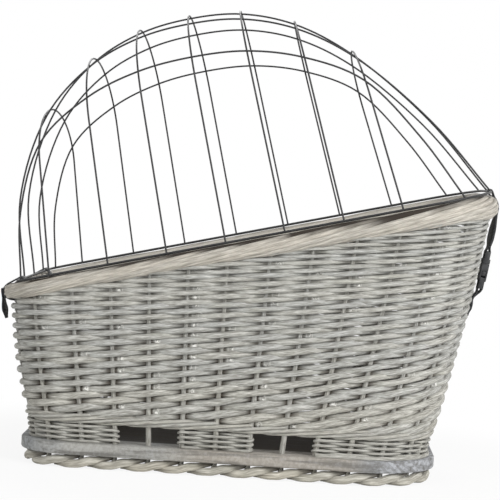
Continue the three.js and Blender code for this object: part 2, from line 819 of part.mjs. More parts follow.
const strapHalf = webbingThickness / 2;
const hang = new THREE.Vector2(-Math.sin(closureLean), -Math.cos(closureLean));
const overBorder = (angle) => new THREE.Vector2(
  rimRight + (borderWidth / 2 + 2 * seatGap + strapHalf) * Math.cos(angle),
  borderMiddleAt(rimRight) + (borderHeight / 2 + 2 * seatGap + strapHalf) * Math.sin(angle),
);
const leaveAngle = Math.atan(-Math.tan(closureLean) * (borderHeight / borderWidth));
const leave = overBorder(leaveAngle);
const barRadius = buckleBarDiameter / 2;
const maleLength = maleFlange + buckleFrameLength;
const alongHang = (distance) => leave.clone().addScaledVector(hang, distance);
const buckleMouth = closureReach + maleLength;
const maleBar = alongHang(closureReach + barRadius);
const femaleBar = alongHang(buckleMouth + femaleLength + buckleFrameLength - barRadius);

// A band of webbing along a path, with an eye at each end that goes round a bar
function webbingBand(path, eyes) {
  const edge = (side) => path.map((point, k) => {
    const before = path[Math.max(k - 1, 0)];
    const after = path[Math.min(k + 1, path.length - 1)];
    const across = after.clone().sub(before).normalize().rotateAround(new THREE.Vector2(), 90 * degree);
    return point.clone().addScaledVector(across, side * strapHalf);
  });
  const band = new THREE.Shape([...edge(-1), ...edge(1).reverse()]);
  const round = (eye, grow, width) => {
    const outline = circlePoints(roundedOut(eye.radius + grow, eyeFacets), eyeFacets, eye.at.x, eye.at.y);
    return strapFromProfile(new THREE.Shape(outline), width, closureOffset);
  };
  const eyeGap = 2 * seatGap;
  const solid = join(
    strapFromProfile(band, webbingWidth, closureOffset),
    ...eyes.map((eye) => round(eye, eyeGap + webbingLoop, webbingWidth)),
  );
  return cut(solid, ...eyes.map((eye) => round(eye, eyeGap, webbingWidth * 2)));
}

const ringEye = { at: new THREE.Vector2(ringRight, 0), radius: ringRadius };
const bendAngles = borderBends.map((angle) => angle * degree).filter((angle) => angle > leaveAngle);
const upperPath = [ringEye.at.clone(), ...bendAngles.map(overBorder), leave, maleBar];
const upperEyes = [ringEye, { at: maleBar, radius: barRadius }];
addPiece(rim, 'closure_strap_upper', webbingBand(upperPath, upperEyes), webbing());

// The lower webbing lies flat on the wall at its anchor
function anchorPoint(drop) {
  const onWall = (share) => wallFace(highEndMiddle, share, wallHalf);
  const share = 1 - drop / onWall(1).distanceTo(onWall(0));
  const face = baseToRim(onWall(share));
  const down = baseToRim(onWall(share - 0.01)).sub(face).normalize();
  const stand = seatGap + strapHalf;
  return new THREE.Vector2(face.x - down.z * stand, face.z + down.x * stand);
}
const anchorTop = anchorPoint(anchorDrop);
const anchorEnd = anchorPoint(anchorDrop + anchorLength);
const flat = anchorEnd.clone().sub(anchorTop).normalize();
const ease = femaleBar.distanceTo(anchorTop) / 2;
const lowerBend = new THREE.CubicBezierCurve(
  femaleBar,
  femaleBar.clone().addScaledVector(hang, ease),
  anchorTop.clone().addScaledVector(flat, -ease),
  anchorTop,
);
const lowerPath = [...lowerBend.getPoints(bendSteps), anchorEnd];
const lowerStrap = webbingBand(lowerPath, [{ at: femaleBar, radius: barRadius }]);
addPiece(rim, 'closure_strap_lower', lowerStrap, webbing());

// Buckle, in its own frame: x along the strap from the socket's mouth, y across, z through its thickness
const buckle = new THREE.Group();
const mouth = alongHang(buckleMouth);
buckle.position.set(mouth.x, closureOffset, mouth.y);
buckle.rotation.y = Math.atan2(-hang.y, hang.x);
rim.add(buckle);

const buckleHalf = buckleWidth / 2;
const thickHalf = buckleThickness / 2;

function slab(points, thickness) {
  const shape = new THREE.Shape(points.map(([x, y]) => new THREE.Vector2(x, y)));
  const body = new THREE.ExtrudeGeometry(shape, { depth: thickness, bevelEnabled: false });
  return body.translate(0, 0, -thickness / 2);
}

// Two rails and the bar that the webbing turns round, reaching from x0 to x1 with the bar at x1
function barFrame(x0, x1) {
  const direction = Math.sign(x1 - x0);
  const barX = x1 - direction * barRadius;
  const inner = buckleHalf - buckleRail;
  const railThickness = buckleBarDiameter + buckleRail;
  const rails = [-1, 1].map((side) => slab([
    [Math.min(x0, x1), Math.min(side * inner, side * buckleHalf)],
    [Math.max(x0, x1), Math.min(side * inner, side * buckleHalf)],
    [Math.max(x0, x1), Math.max(side * inner, side * buckleHalf)],
    [Math.min(x0, x1), Math.max(side * inner, side * buckleHalf)],
  ], railThickness));
  const bar = new THREE.CylinderGeometry(barRadius, barRadius, buckleWidth - buckleRail, stakeSides);
  return [...rails, bar.translate(barX, 0, 0)];
}

function taperedBlock(x0, x1, half0, half1) {
  const soft = buckleRail;
  return slab([
    [x0, -half0], [x1 - soft, -half1], [x1, -half1 + soft],
    [x1, half1 - soft], [x1 - soft, half1], [x0, half0],
  ], buckleThickness);
}

function maleBody() {
  const flange = block(-maleFlange, 0, -buckleHalf, buckleHalf, -thickHalf, thickHalf);
  const tongueHalf = thickHalf - socketWall - seatGap;
  const tongue = slab([
    [-maleFlange / 2, -tongueWidth / 2], [tongueLength - tongueWidth / 2, -tongueWidth / 2],
    [tongueLength, 0], [tongueLength - tongueWidth / 2, tongueWidth / 2], [-maleFlange / 2, tongueWidth / 2],
  ], 2 * tongueHalf);
  return join(flange, tongue, ...barFrame(-maleFlange + buckleRail, -maleLength));
}
addPiece(buckle, 'buckle_male', maleBody(), blackPlastic());

const socketHalf = buckleHalf - socketSideWall;
const armOuter = socketHalf - 2 * seatGap;
const armInner = tongueWidth / 2 + seatGap + armTravel;
const padStart = armLength - padLength;

function femaleBody() {
  const frameRoot = femaleLength - buckleRail;
  const body = taperedBlock(seatGap, femaleLength, buckleHalf, buckleHalf);
  const cavity = thickHalf - socketWall;
  const socket = block(-seatGap, socketDepth, -socketHalf, socketHalf, -cavity, cavity);
  const windows = [-1, 1].map((side) => block(
    padStart - seatGap, armLength + seatGap,
    side > 0 ? socketHalf - seatGap : -buckleWidth, side > 0 ? buckleWidth : -socketHalf + seatGap,
    -cavity, cavity,
  ));
  const housing = cut(body, socket, ...windows);
  return join(housing, ...barFrame(frameRoot, femaleLength + buckleFrameLength));
}
addPiece(buckle, 'buckle_female', femaleBody(), blackPlastic());

// A springing arm, with the pad that fills the window; pressed in by its travel it still clears the tongue
function springArm(side) {
  const padOuter = armOuter + padReach;
  const outline = [
    [seatGap, armInner], [armLength, armInner], [armLength, armOuter], [armLength - padReach / 2, padOuter],
    [padStart, padOuter], [padStart, armOuter], [seatGap, armOuter],
  ].map(([x, y]) => [x, side * y]);
  return slab(side > 0 ? outline : outline.reverse(), 2 * (thickHalf - socketWall - seatGap));
}
for (const [name, side] of [['near', -1], ['far', 1]]) {
  addPiece(buckle, `buckle_arm_${name}`, springArm(side), blackPlastic());
}

// The part's origin is on the ground under the middle of its length
basket.updateMatrixWorld(true);
const extent = new THREE.Box3().setFromObject(basket, true);
basket.position.x = -(extent.min.x + extent.max.x) / 2;

export default part;
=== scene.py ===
import math

import bmesh
import bpy
from mathutils import Matrix, Vector, noise


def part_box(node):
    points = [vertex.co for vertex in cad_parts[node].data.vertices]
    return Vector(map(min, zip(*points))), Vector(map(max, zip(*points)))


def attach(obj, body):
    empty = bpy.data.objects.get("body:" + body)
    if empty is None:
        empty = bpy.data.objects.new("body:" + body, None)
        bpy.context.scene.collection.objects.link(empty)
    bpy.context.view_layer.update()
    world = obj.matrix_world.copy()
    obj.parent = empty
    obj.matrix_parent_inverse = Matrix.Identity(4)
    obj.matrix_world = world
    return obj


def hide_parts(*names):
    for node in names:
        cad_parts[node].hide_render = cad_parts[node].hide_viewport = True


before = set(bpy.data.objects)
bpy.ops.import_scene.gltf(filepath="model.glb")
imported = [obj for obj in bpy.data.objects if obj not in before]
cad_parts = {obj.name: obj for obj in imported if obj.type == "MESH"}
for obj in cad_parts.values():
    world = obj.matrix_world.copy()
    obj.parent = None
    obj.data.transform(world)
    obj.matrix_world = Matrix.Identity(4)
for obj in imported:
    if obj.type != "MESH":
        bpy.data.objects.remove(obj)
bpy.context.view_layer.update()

mm = 0.001
scene = bpy.context.scene
scene.view_settings.view_transform = "Standard"


def addObject(name, data):
    added = bpy.data.objects.new(name, data)
    scene.collection.objects.link(added)
    return added


# Camera: where the photograph was taken from, in millimetres and degrees
cameraView = {
    "place": (56.47, -2179.4, 327.1), "yaw": -1.622, "pitch": 2.315, "roll": 3.318,
    "lens": 139.33, "sensor": 36.0, "clipEnd": 50,
}


def makeCamera(view):
    yaw, pitch, roll = (math.radians(view[turn]) for turn in ("yaw", "pitch", "roll"))
    ahead = Vector((math.sin(yaw) * math.cos(pitch), math.cos(yaw) * math.cos(pitch), -math.sin(pitch)))
    level = Vector((math.cos(yaw), -math.sin(yaw), 0))
    above = level.cross(ahead)
    right = math.cos(roll) * level + math.sin(roll) * above
    up = math.cos(roll) * above - math.sin(roll) * level
    data = bpy.data.cameras.new("photoCamera")
    data.lens, data.sensor_width, data.clip_end = view["lens"], view["sensor"], view["clipEnd"]
    camera = addObject("photoCamera", data)
    turned = Matrix((right, up, -ahead)).transposed().to_4x4()
    camera.matrix_world = Matrix.Translation(Vector(view["place"]) * mm) @ turned
    scene.camera = camera


makeCamera(cameraView)
print("camera placed")


# Values between two others, in a straight line, in a soft step or along a list of stops
def between(low, high, share):
    return low + (high - low) * share


def smoothStep(low, high, value):
    share = min(max((value - low) / (high - low), 0), 1)
    return share * share * (3 - 2 * share)


def eased(stops, value):
    for (x0, y0), (x1, y1) in zip(stops, stops[1:]):
        if value <= x1:
            return between(y0, y1, smoothStep(x0, x1, value))
    return stops[-1][1]


def wobble(x, y, z=0.5):
    return noise.noise(Vector((x, y, z)))


# The basket's plan: an oblong base, and a wider oblong rim on a plane that climbs to the high end
basketPlan = {
    "base": {"left": -200, "right": 225.5, "half": 122,
             "leftRadius": 40, "rightDepth": 70, "rightSpread": 70},
    "rim": {"left": -233, "right": 282, "half": 150,
            "leftRadius": 45, "rightDepth": 80, "rightSpread": 80},
    "ring": {"left": -227, "right": 291.5, "half": 150,
             "leftRadius": 25, "rightDepth": 60, "rightSpread": 106},
    "rimSlope": 13.8, "rimHeight": 251,
    "boardBottom": 15, "boardTop": 28, "boardReach": 13,
    "lowerWeaveTop": 47.3, "wallBottom": 60.4, "wallBulge": 3,
    "borderLeft": -234.4, "borderTop": -1.7, "borderWidth": 26, "lowBorderHeight": 18, "highBorderHeight": 28,
    "stakePitch": 35.7,
}
basePlan, rimPlan, ringPlan = (basketPlan[level] for level in ("base", "rim", "ring"))
borderPlan = {**rimPlan, "left": basketPlan["borderLeft"]}
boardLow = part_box("base_board")[0]
shiftX = boardLow.x / mm - (basePlan["left"] - basketPlan["boardReach"])
rimSlope = math.radians(basketPlan["rimSlope"])
slopeCos, slopeSin = math.cos(rimSlope), math.sin(rimSlope)


# From the rim's plane (length, width, height over it) to the basket's own frame, and back
def rimToBase(u, v, w):
    x, z = u * slopeCos - w * slopeSin, u * slopeSin + w * slopeCos
    return Vector((x + shiftX, v, basketPlan["rimHeight"] + z))


def toRim(point):
    x, z = point.x - shiftX, point.z - basketPlan["rimHeight"]
    return Vector((x * slopeCos + z * slopeSin, z * slopeCos - x * slopeSin))


# The border is lower at the low end
def borderHeightAt(u):
    share = (u - rimPlan["left"]) / (rimPlan["right"] - rimPlan["left"])
    return between(basketPlan["lowBorderHeight"], basketPlan["highBorderHeight"], share)


def borderMiddleAt(u):
    return basketPlan["borderTop"] - borderHeightAt(u) / 2


# An oblong is nine stretches run anticlockwise from the near middle. Even ones are straight, from one
# point to another, and odd ones are corners: centre, depth, spread and the angle where they start
def outlineStretch(plan, stretch):
    x0, x1, h = plan["left"], plan["right"], plan["half"]
    rl, rx, ry = plan["leftRadius"], plan["rightDepth"], plan["rightSpread"]
    return (
        (0, -h, x1 - rx, -h),
        (x1 - rx, ry - h, rx, ry, -90),
        (x1, ry - h, x1, h - ry),
        (x1 - rx, h - ry, rx, ry, 0),
        (x1 - rx, h, x0 + rl, h),
        (x0 + rl, h - rl, rl, rl, 90),
        (x0, h - rl, x0, rl - h),
        (x0 + rl, rl - h, rl, rl, 180),
        (x0 + rl, -h, 0, -h),
    )[stretch]


# The point at a place on an oblong, and the way out of it there
def outlineAt(plan, place):
    stretch, share = place
    shape = outlineStretch(plan, stretch)
    if stretch % 2:
        x, y, depth, spread, start = shape
        angle = math.radians(start + 90 * share)
        point = Vector((x + depth * math.cos(angle), y + spread * math.sin(angle), 0))
        return point, Vector((spread * math.cos(angle), depth * math.sin(angle), 0)).normalized()
    ax, ay, bx, by = shape
    point = Vector((between(ax, bx, share), between(ay, by, share), 0))
    return point, Vector((by - ay, ax - bx, 0)).normalized()


def onOutline(plan, place):
    return outlineAt(plan, place)[0]


def stretchLength(plan, stretch):
    shape = outlineStretch(plan, stretch)
    if stretch % 2:
        return math.pi / 2 * shape[2]
    return math.hypot(shape[2] - shape[0], shape[3] - shape[1])


stretchLengths = [stretchLength(basePlan, stretch) for stretch in range(9)]
outlineLength = sum(stretchLengths)


def placeAlong(distance):
    rest = distance % outlineLength
    for stretch, length in enumerate(stretchLengths):
        if rest <= length:
            return stretch, rest / length
        rest -= length
    return len(stretchLengths) - 1, 1


# Stakes stand at an even pitch on the long sides and share out the ends
farMiddle = sum(stretchLengths[:4]) + basePlan["right"] - basePlan["rightDepth"]


def findStakes(pitch):
    reach = int(min(stretchLengths[0], stretchLengths[-1]) / pitch)
    found = []
    for middle, other in ((0, farMiddle), (farMiddle, outlineLength)):
        found += [middle + step * pitch for step in range(-reach, reach + 1)]
        start, end = middle + reach * pitch, other - reach * pitch
        spaces = round((end - start) / pitch)
        found += [start + k * (end - start) / spaces for k in range(1, spaces)]
    return sorted(distance % outlineLength for distance in found)


stakeDistances = findStakes(basketPlan["stakePitch"])
stakeCount = len(stakeDistances)
stakeDistances.append(stakeDistances[0] + outlineLength)


# A way along the stake line counted in stakes: 2.5 is halfway between the stakes numbered 2 and 3
def strokeDistance(count):
    whole = math.floor(count)
    rounds, index = divmod(whole, stakeCount)
    return rounds * outlineLength + between(*stakeDistances[index:index + 2], count - whole)


def strokePlace(count):
    return placeAlong(strokeDistance(count))


# The flared wall runs from the stake line on the board to the middle of the border, with a slight belly
def wallRun(place):
    foot, out = outlineAt(basePlan, place)
    head = onOutline(rimPlan, place)
    low = Vector((foot.x + shiftX, foot.y, basketPlan["boardTop"]))
    return low, rimToBase(head.x, head.y, borderMiddleAt(head.x)), out


# The height where the wall meets a level of the border: 0 is the border's top and 1 its bottom
def borderLevel(place, level):
    ends = wallRun(place)[:2]
    spots = [toRim(end) for end in ends]
    low, high = (spot.y - basketPlan["borderTop"] + level * borderHeightAt(spot.x) for spot in spots)
    return between(ends[0].z, ends[1].z, low / (low - high))


def wallPoint(place, z, offset=0):
    low, high, out = wallRun(place)
    bottom, top = basketPlan["wallBottom"], borderLevel(place, 1)
    share = min(max((z - bottom) / (top - bottom), 0), 1)
    belly = 4 * basketPlan["wallBulge"] * share * (1 - share)
    point = low.lerp(high, max((z - low.z) / (high.z - low.z), 0)) + out * (offset + belly)
    point.z = z
    return point


# How far a rod bends out of the wall: 1 over the stake it passes in front of, -1 behind the next
def weaveSwing(strokes, tightness):
    return 1 - 2 * ((1 - math.cos(math.pi * strokes)) / 2) ** tightness


print("plan ready:", stakeCount, "stakes")


# Node helpers: an input is a socket to link or a plain value to set
def feed(tree, socket, value):
    if isinstance(value, bpy.types.NodeSocket):
        tree.links.new(value, socket)
    else:
        socket.default_value = value


def addNode(tree, kind, inputs=None, **settings):
    node = tree.nodes.new(kind)
    for name, value in settings.items():
        setattr(node, name, value)
    for key, value in (inputs or {}).items():
        feed(tree, node.inputs[key], value)
    return node


def newGroup(name, kind, inputs, outputs):
    group = bpy.data.node_groups.new(name, kind)
    for label, (sort, value) in inputs.items():
        socket = group.interface.new_socket(label, in_out="INPUT", socket_type="NodeSocket" + sort)
        if value is not None:
            socket.default_value = value
    for label, sort in outputs.items():
        group.interface.new_socket(label, in_out="OUTPUT", socket_type="NodeSocket" + sort)
    return group, addNode(group, "NodeGroupInput"), addNode(group, "NodeGroupOutput")


# Blender's linear colour from shades of 0 to 255
def colour(shades):
    return (*(((c / 255 + 0.055) / 1.055) ** 2.4 if c > 10 else c / 255 / 12.92 for c in shades), 1)


def mixColours(tree, factor, first, second):
    first, second = (colour(tint) if isinstance(tint, tuple) else tint for tint in (first, second))
    return addNode(tree, "ShaderNodeMix", {0: factor, 6: first, 7: second}, data_type="RGBA").outputs[2]


def calculate(tree, operation, *values):
    return addNode(tree, "ShaderNodeMath", dict(enumerate(values)), operation=operation).outputs[0]


def multiply(tree, first, second):
    return calculate(tree, "MULTIPLY", first, second)


def mapRange(tree, value, low, high, toLow=0.0, toHigh=1.0):
    limits = {"From Min": low, "From Max": high, "To Min": toLow, "To Max": toHigh}
    node = addNode(tree, "ShaderNodeMapRange", {"Value": value, **limits}, interpolation_type="SMOOTHSTEP")
    return node.outputs["Result"]


def noiseAt(tree, vector, scale, detail=3.0, roughness=0.55):
    inputs = {"Vector": vector, "Scale": scale, "Detail": detail, "Roughness": roughness}
    return addNode(tree, "ShaderNodeTexNoise", inputs).outputs["Fac"]


def objectPlace(tree):
    return addNode(tree, "ShaderNodeTexCoord").outputs["Object"]


def axesOf(tree, vector):
    return addNode(tree, "ShaderNodeSeparateXYZ", {0: vector}).outputs


def newMaterial(name):
    material = bpy.data.materials.new(name)
    material.use_nodes = True
    tree = material.node_tree
    return material, tree, tree.nodes["Principled BSDF"]


# Colour, roughness and relief come from nodes; plain values go on the shader's own sockets
def dressShader(tree, shader, finish, base, roughness, height):
    relief = {"Height": height, "Distance": finish["relief"], "Strength": finish.get("reliefStrength", 1.0)}
    normal = addNode(tree, "ShaderNodeBump", relief).outputs["Normal"]
    looks = {"Base Color": base, "Roughness": roughness, "Normal": normal, **finish["plain"]}
    for label, value in looks.items():
        feed(tree, shader.inputs[label], value)


# Fibres that run along a rod, from the place round it and the length along it
fibreLook = {
    "toneShift": 37.0, "noise": (1.7, 4.0, 0.6),
    "blotchGirth": 0.35, "blotchLength": 22.0, "blotchShift": 91.0, "blotchNoise": (1.0, 3.0),
}


def makeFibreGroup(look):
    group, given, result = newGroup(
        "rodFibres", "ShaderNodeTree", {"Fineness": ("Float", 1.0), "Length": ("Float", 1.0)},
        {"Fibre": "Float", "Blotch": "Float", "Tone": "Float", "WashShadeAndLight": "Float"})

    def attribute(name, output="Fac"):
        return addNode(group, "ShaderNodeAttribute", attribute_name=name).outputs[output]

    around = axesOf(group, attribute("rodAround", "Vector"))
    along, tone = attribute("rodAlong"), attribute("rodTone")

    def fibreSpace(girth, length, toneShift):
        x, y = (multiply(group, around[axis], girth) for axis in (0, 1))
        z = calculate(group, "MULTIPLY_ADD", tone, toneShift, multiply(group, along, length))
        return addNode(group, "ShaderNodeCombineXYZ", {0: x, 1: y, 2: z}).outputs[0]

    fine = fibreSpace(given.outputs["Fineness"], given.outputs["Length"], look["toneShift"])
    broad = fibreSpace(look["blotchGirth"], look["blotchLength"], look["blotchShift"])
    results = {
        "Fibre": noiseAt(group, fine, *look["noise"]), "Blotch": noiseAt(group, broad, *look["blotchNoise"]),
        "Tone": tone, "WashShadeAndLight": attribute("rodWashShadeAndLight"),
    }
    for label, value in results.items():
        feed(group, result.inputs[label], value)
    return group


fibreGroup = makeFibreGroup(fibreLook)

# Grey-washed willow in grey, warm and greenish rods, with bark on worn fibres. The rods' wash value also
# # carries painted shade, in the bark colour below 1, and painted light, in white above 1
willowLook = {
    "warmTones": (0.35, 0.95), "greenBlotches": (0.52, 0.75, 0.0, 0.45), "paleFibres": (0.36, 0.62),
    "brightFibres": (0.56, 0.74), "brightShare": 0.8, "wornFibres": (0.2, 0.42), "speckNoise": (0.5, 0.6),
    "evenWash": (1.4, 1.6, 1.0, 0.0), "paintedLightWash": (1.0, 2.0), "roughness": (0.2, 0.8, 0.62, 0.85),
    "relief": 0.0006, "plain": {"Specular IOR Level": 0.35},
}


def makeWillow(name, ownLook):
    finish = {**willowLook, **ownLook}
    material, tree, shader = newMaterial(name)
    sizes = {"Fineness": finish["fineness"], "Length": finish["length"]}
    fibres = addNode(tree, "ShaderNodeGroup", sizes, node_tree=fibreGroup).outputs
    fibre, blotch, washShadeAndLight = fibres["Fibre"], fibres["Blotch"], fibres["WashShadeAndLight"]
    place = objectPlace(tree)
    low = mapRange(tree, axesOf(tree, place)["Z"], *finish["warmHeights"], 1.0, 0.0)
    warm = calculate(tree, "ADD", low, mapRange(tree, fibres["Tone"], *finish["warmTones"]))
    washed = mixColours(tree, multiply(tree, warm, 0.5), finish["grey"], finish["warm"])
    washed = mixColours(tree, mapRange(tree, blotch, *finish["greenBlotches"]), washed, finish["green"])
    streaked = mixColours(tree, finish["contrast"], washed, finish["streak"])
    washed = mixColours(tree, mapRange(tree, fibre, *finish["paleFibres"]), streaked, washed)
    most = finish["contrast"] * finish["brightShare"]
    bright = mapRange(tree, fibre, *finish["brightFibres"], 0.0, most)
    washed = mixColours(tree, bright, washed, finish["pale"])
    # Painted light: a wash above 1 mixes in white, everywhere up to 1.4 and only in specks above that
    specks = mapRange(tree, noiseAt(tree, place, finish["specks"], 2.0), *finish["speckNoise"])
    even = mapRange(tree, washShadeAndLight, *finish["evenWash"])
    paintedLightShare = mapRange(tree, washShadeAndLight, *finish["paintedLightWash"])
    thick = multiply(tree, paintedLightShare, calculate(tree, "MAXIMUM", even, specks))
    washed = mixColours(tree, thick, washed, finish["white"])
    # Painted shade: a wash below 1 turns the rod towards the bark colour; worn fibres show real bark
    worn = mapRange(tree, fibre, *finish["wornFibres"], finish["wear"], 0.0)
    base = mixColours(tree, calculate(tree, "SUBTRACT", washShadeAndLight, worn), finish["barkAndShade"], washed)
    dressShader(tree, shader, finish, base, mapRange(tree, blotch, *finish["roughness"]), fibre)
    return material


wallWillow = makeWillow("wallWillow", {
    "fineness": 2.2, "length": 60.0, "warmHeights": (0.03, 0.16), "wear": 0.35, "contrast": 0.75,
    "grey": (180, 181, 178), "warm": (190, 188, 179), "green": (172, 172, 159), "streak": (118, 115, 107),
    "barkAndShade": (62, 55, 46), "pale": (228, 226, 219), "white": (246, 245, 240), "specks": 240.0,
})
borderWillow = makeWillow("borderWillow", {
    "fineness": 1.3, "length": 35.0, "warmHeights": (0.45, 0.6), "wear": 0.2, "contrast": 0.5,
    "grey": (182, 179, 172), "warm": (193, 187, 176), "green": (172, 168, 153), "streak": (112, 105, 94),
    "barkAndShade": (46, 39, 32), "pale": (226, 220, 208), "white": (226, 222, 212), "specks": 420.0,
})
footWillow = makeWillow("footWillow", {
    "fineness": 1.5, "length": 35.0, "warmHeights": (0.0, 0.02), "wear": 0.25, "contrast": 0.65,
    "grey": (183, 182, 174), "warm": (196, 190, 176), "green": (172, 171, 154), "streak": (112, 107, 95),
    "barkAndShade": (46, 39, 32), "pale": (232, 229, 219), "white": (232, 229, 220), "specks": 420.0,
})

# Blue-grey washed board with long grain, a warmer middle, and saw marks on the end grain
boardFinish = {
    "grainStretch": (5.0, 90.0, 90.0), "grainNoise": (2.2, 6.0, 0.65), "patchNoise": (9.0, 3.0),
    "bluePatches": (0.42, 0.62), "sawTurn": (0, 38, 20), "sawScale": 60.0, "sawWobble": 2.5,
    "sawMarks": (0.35, 0.8, 0.0, 0.45), "middleFrom": (-0.1, -0.03), "middleTo": (0.11, 0.15, 0.85, 0.0),
    "endFrom": (0.12, 0.17), "endShare": 0.8, "streaks": (0.36, 0.55, 0.7, 0.0), "mottleNoise": (330.0, 2.0),
    "darkMottle": (0.36, 0.6, 0.26, 0.0), "paleMottle": (0.52, 0.7, 0.0, 0.16),
    "roughness": (0.3, 0.7, 0.8, 0.6), "relief": 0.0008, "plain": {"Specular IOR Level": 0.25},
    "grey": (164, 163, 158), "blue": (152, 155, 157), "dark": (96, 94, 90), "warm": (165, 158, 148),
    "end": (174, 176, 181), "bare": (40, 35, 30), "bareGrain": (64, 57, 49),
}


def makeBoardWood(finish):
    material, tree, shader = newMaterial("washedBoard")
    place = objectPlace(tree)
    stretched = addNode(tree, "ShaderNodeMapping", {"Vector": place, "Scale": finish["grainStretch"]})
    grain = noiseAt(tree, stretched.outputs[0], *finish["grainNoise"])
    patch = noiseAt(tree, place, *finish["patchNoise"])
    base = mixColours(tree, mapRange(tree, patch, *finish["bluePatches"]), finish["grey"], finish["blue"])
    turn = [math.radians(degrees) for degrees in finish["sawTurn"]]
    slant = addNode(tree, "ShaderNodeMapping", {"Vector": place, "Rotation": turn}).outputs[0]
    teeth = {"Vector": slant, "Scale": finish["sawScale"], "Distortion": finish["sawWobble"]}
    saw = addNode(tree, "ShaderNodeTexWave", teeth, wave_type="BANDS", bands_direction="X").outputs["Fac"]
    length = axesOf(tree, place)["X"]
    middle = multiply(tree, mapRange(tree, length, *finish["middleFrom"]),
                      mapRange(tree, length, *finish["middleTo"]))
    base = mixColours(tree, middle, base, finish["warm"])
    endGrain = mapRange(tree, length, *finish["endFrom"])
    base = mixColours(tree, multiply(tree, endGrain, finish["endShare"]), base, finish["end"])
    sawn = multiply(tree, endGrain, mapRange(tree, saw, *finish["sawMarks"]))
    streak = mapRange(tree, grain, *finish["streaks"])
    mottle = noiseAt(tree, place, *finish["mottleNoise"])
    for share in (streak, sawn, mapRange(tree, mottle, *finish["darkMottle"])):
        base = mixColours(tree, share, base, finish["dark"])
    base = mixColours(tree, mapRange(tree, mottle, *finish["paleMottle"]), base, finish["end"])
    # Painted shade: dark wood over the board's top inside the weave
    inside = addNode(tree, "ShaderNodeAttribute", attribute_name="bareWood").outputs["Fac"]
    base = mixColours(tree, inside, base, mixColours(tree, streak, finish["bare"], finish["bareGrain"]))
    roughness = mapRange(tree, grain, *finish["roughness"])
    dressShader(tree, shader, finish, base, roughness, calculate(tree, "SUBTRACT", grain, sawn))
    return material


# Black finishes: painted wire and moulded plastic, rubbed paler in places
wireFinish = {
    "dark": (24, 24, 25), "rubbed": (40, 40, 41), "rubNoise": (45.0, 2.0), "rubs": (0.35, 0.7),
    "roughness": (0.3, 0.7, 0.4, 0.58), "grain": 900.0, "relief": 0.00015,
    "plain": {"Specular IOR Level": 0.45},
}
plasticFinish = {
    "dark": (27, 28, 30), "rubbed": (47, 48, 50), "rubNoise": (80.0, 3.0), "rubs": (0.4, 0.75),
    "roughness": (0.3, 0.7, 0.36, 0.52), "grain": 1400.0, "relief": 0.0002, "reliefStrength": 0.6,
    "plain": {},
}


def makeBlack(name, finish):
    material, tree, shader = newMaterial(name)
    place = objectPlace(tree)
    rub = noiseAt(tree, place, *finish["rubNoise"])
    base = mixColours(tree, mapRange(tree, rub, *finish["rubs"]), finish["dark"], finish["rubbed"])
    roughness = mapRange(tree, rub, *finish["roughness"])
    dressShader(tree, shader, finish, base, roughness, noiseAt(tree, place, finish["grain"], 2.0))
    return material


# Black webbing with ribs across it and a slanted twill
webbingFinish = {
    "ribPitch": 0.0016, "twill": 0.0024, "twillShare": 0.5, "swell": 0.33, "middle": 0.5,
    "dark": (30, 31, 34), "lit": (84, 86, 90), "litFrom": (0.35, 1.0), "fuzzNoise": (300.0, 2.0),
    "fuzz": (0.25, 0.75, 0.3, 1.0), "roughness": (0.0, 1.0, 0.75, 0.5), "relief": 0.0004,
    "plain": {"Sheen Weight": 0.25, "Sheen Roughness": 0.4},
}


def makeWebbing(finish):
    material, tree, shader = newMaterial("blackWebbing")
    across, along = axesOf(tree, addNode(tree, "ShaderNodeUVMap", uv_map="bandUV").outputs[0])[:2]
    ribTurn, twillTurn = (2 * math.pi / finish[pitch] for pitch in ("ribPitch", "twill"))
    ribs = calculate(tree, "SINE", multiply(tree, along, ribTurn))
    slant = calculate(tree, "ADD", multiply(tree, across, twillTurn), multiply(tree, along, ribTurn / 2))
    weave = calculate(tree, "MULTIPLY_ADD", calculate(tree, "SINE", slant), finish["twillShare"], ribs)
    height = calculate(tree, "MULTIPLY_ADD", weave, finish["swell"], finish["middle"])
    fuzz = mapRange(tree, noiseAt(tree, objectPlace(tree), *finish["fuzzNoise"]), *finish["fuzz"])
    lit = multiply(tree, mapRange(tree, height, *finish["litFrom"]), fuzz)
    base = mixColours(tree, lit, finish["dark"], finish["lit"])
    dressShader(tree, shader, finish, base, mapRange(tree, height, *finish["roughness"]), height)
    return material


washedBoard = makeBoardWood(boardFinish)
blackWire = makeBlack("blackWire", wireFinish)
blackWebbing = makeWebbing(webbingFinish)
blackPlastic = makeBlack("blackPlastic", plasticFinish)
print("finishes ready")

# Geometry Nodes: a rod swept along each chain of points, with its own tone and thickness
rodDefaults = {
    "sides": 8, "spread": 0.06, "unevenness": 0.1, "lumpNoise": (60.0, 2.0, 0.5), "girthSeed": 11.0,
}


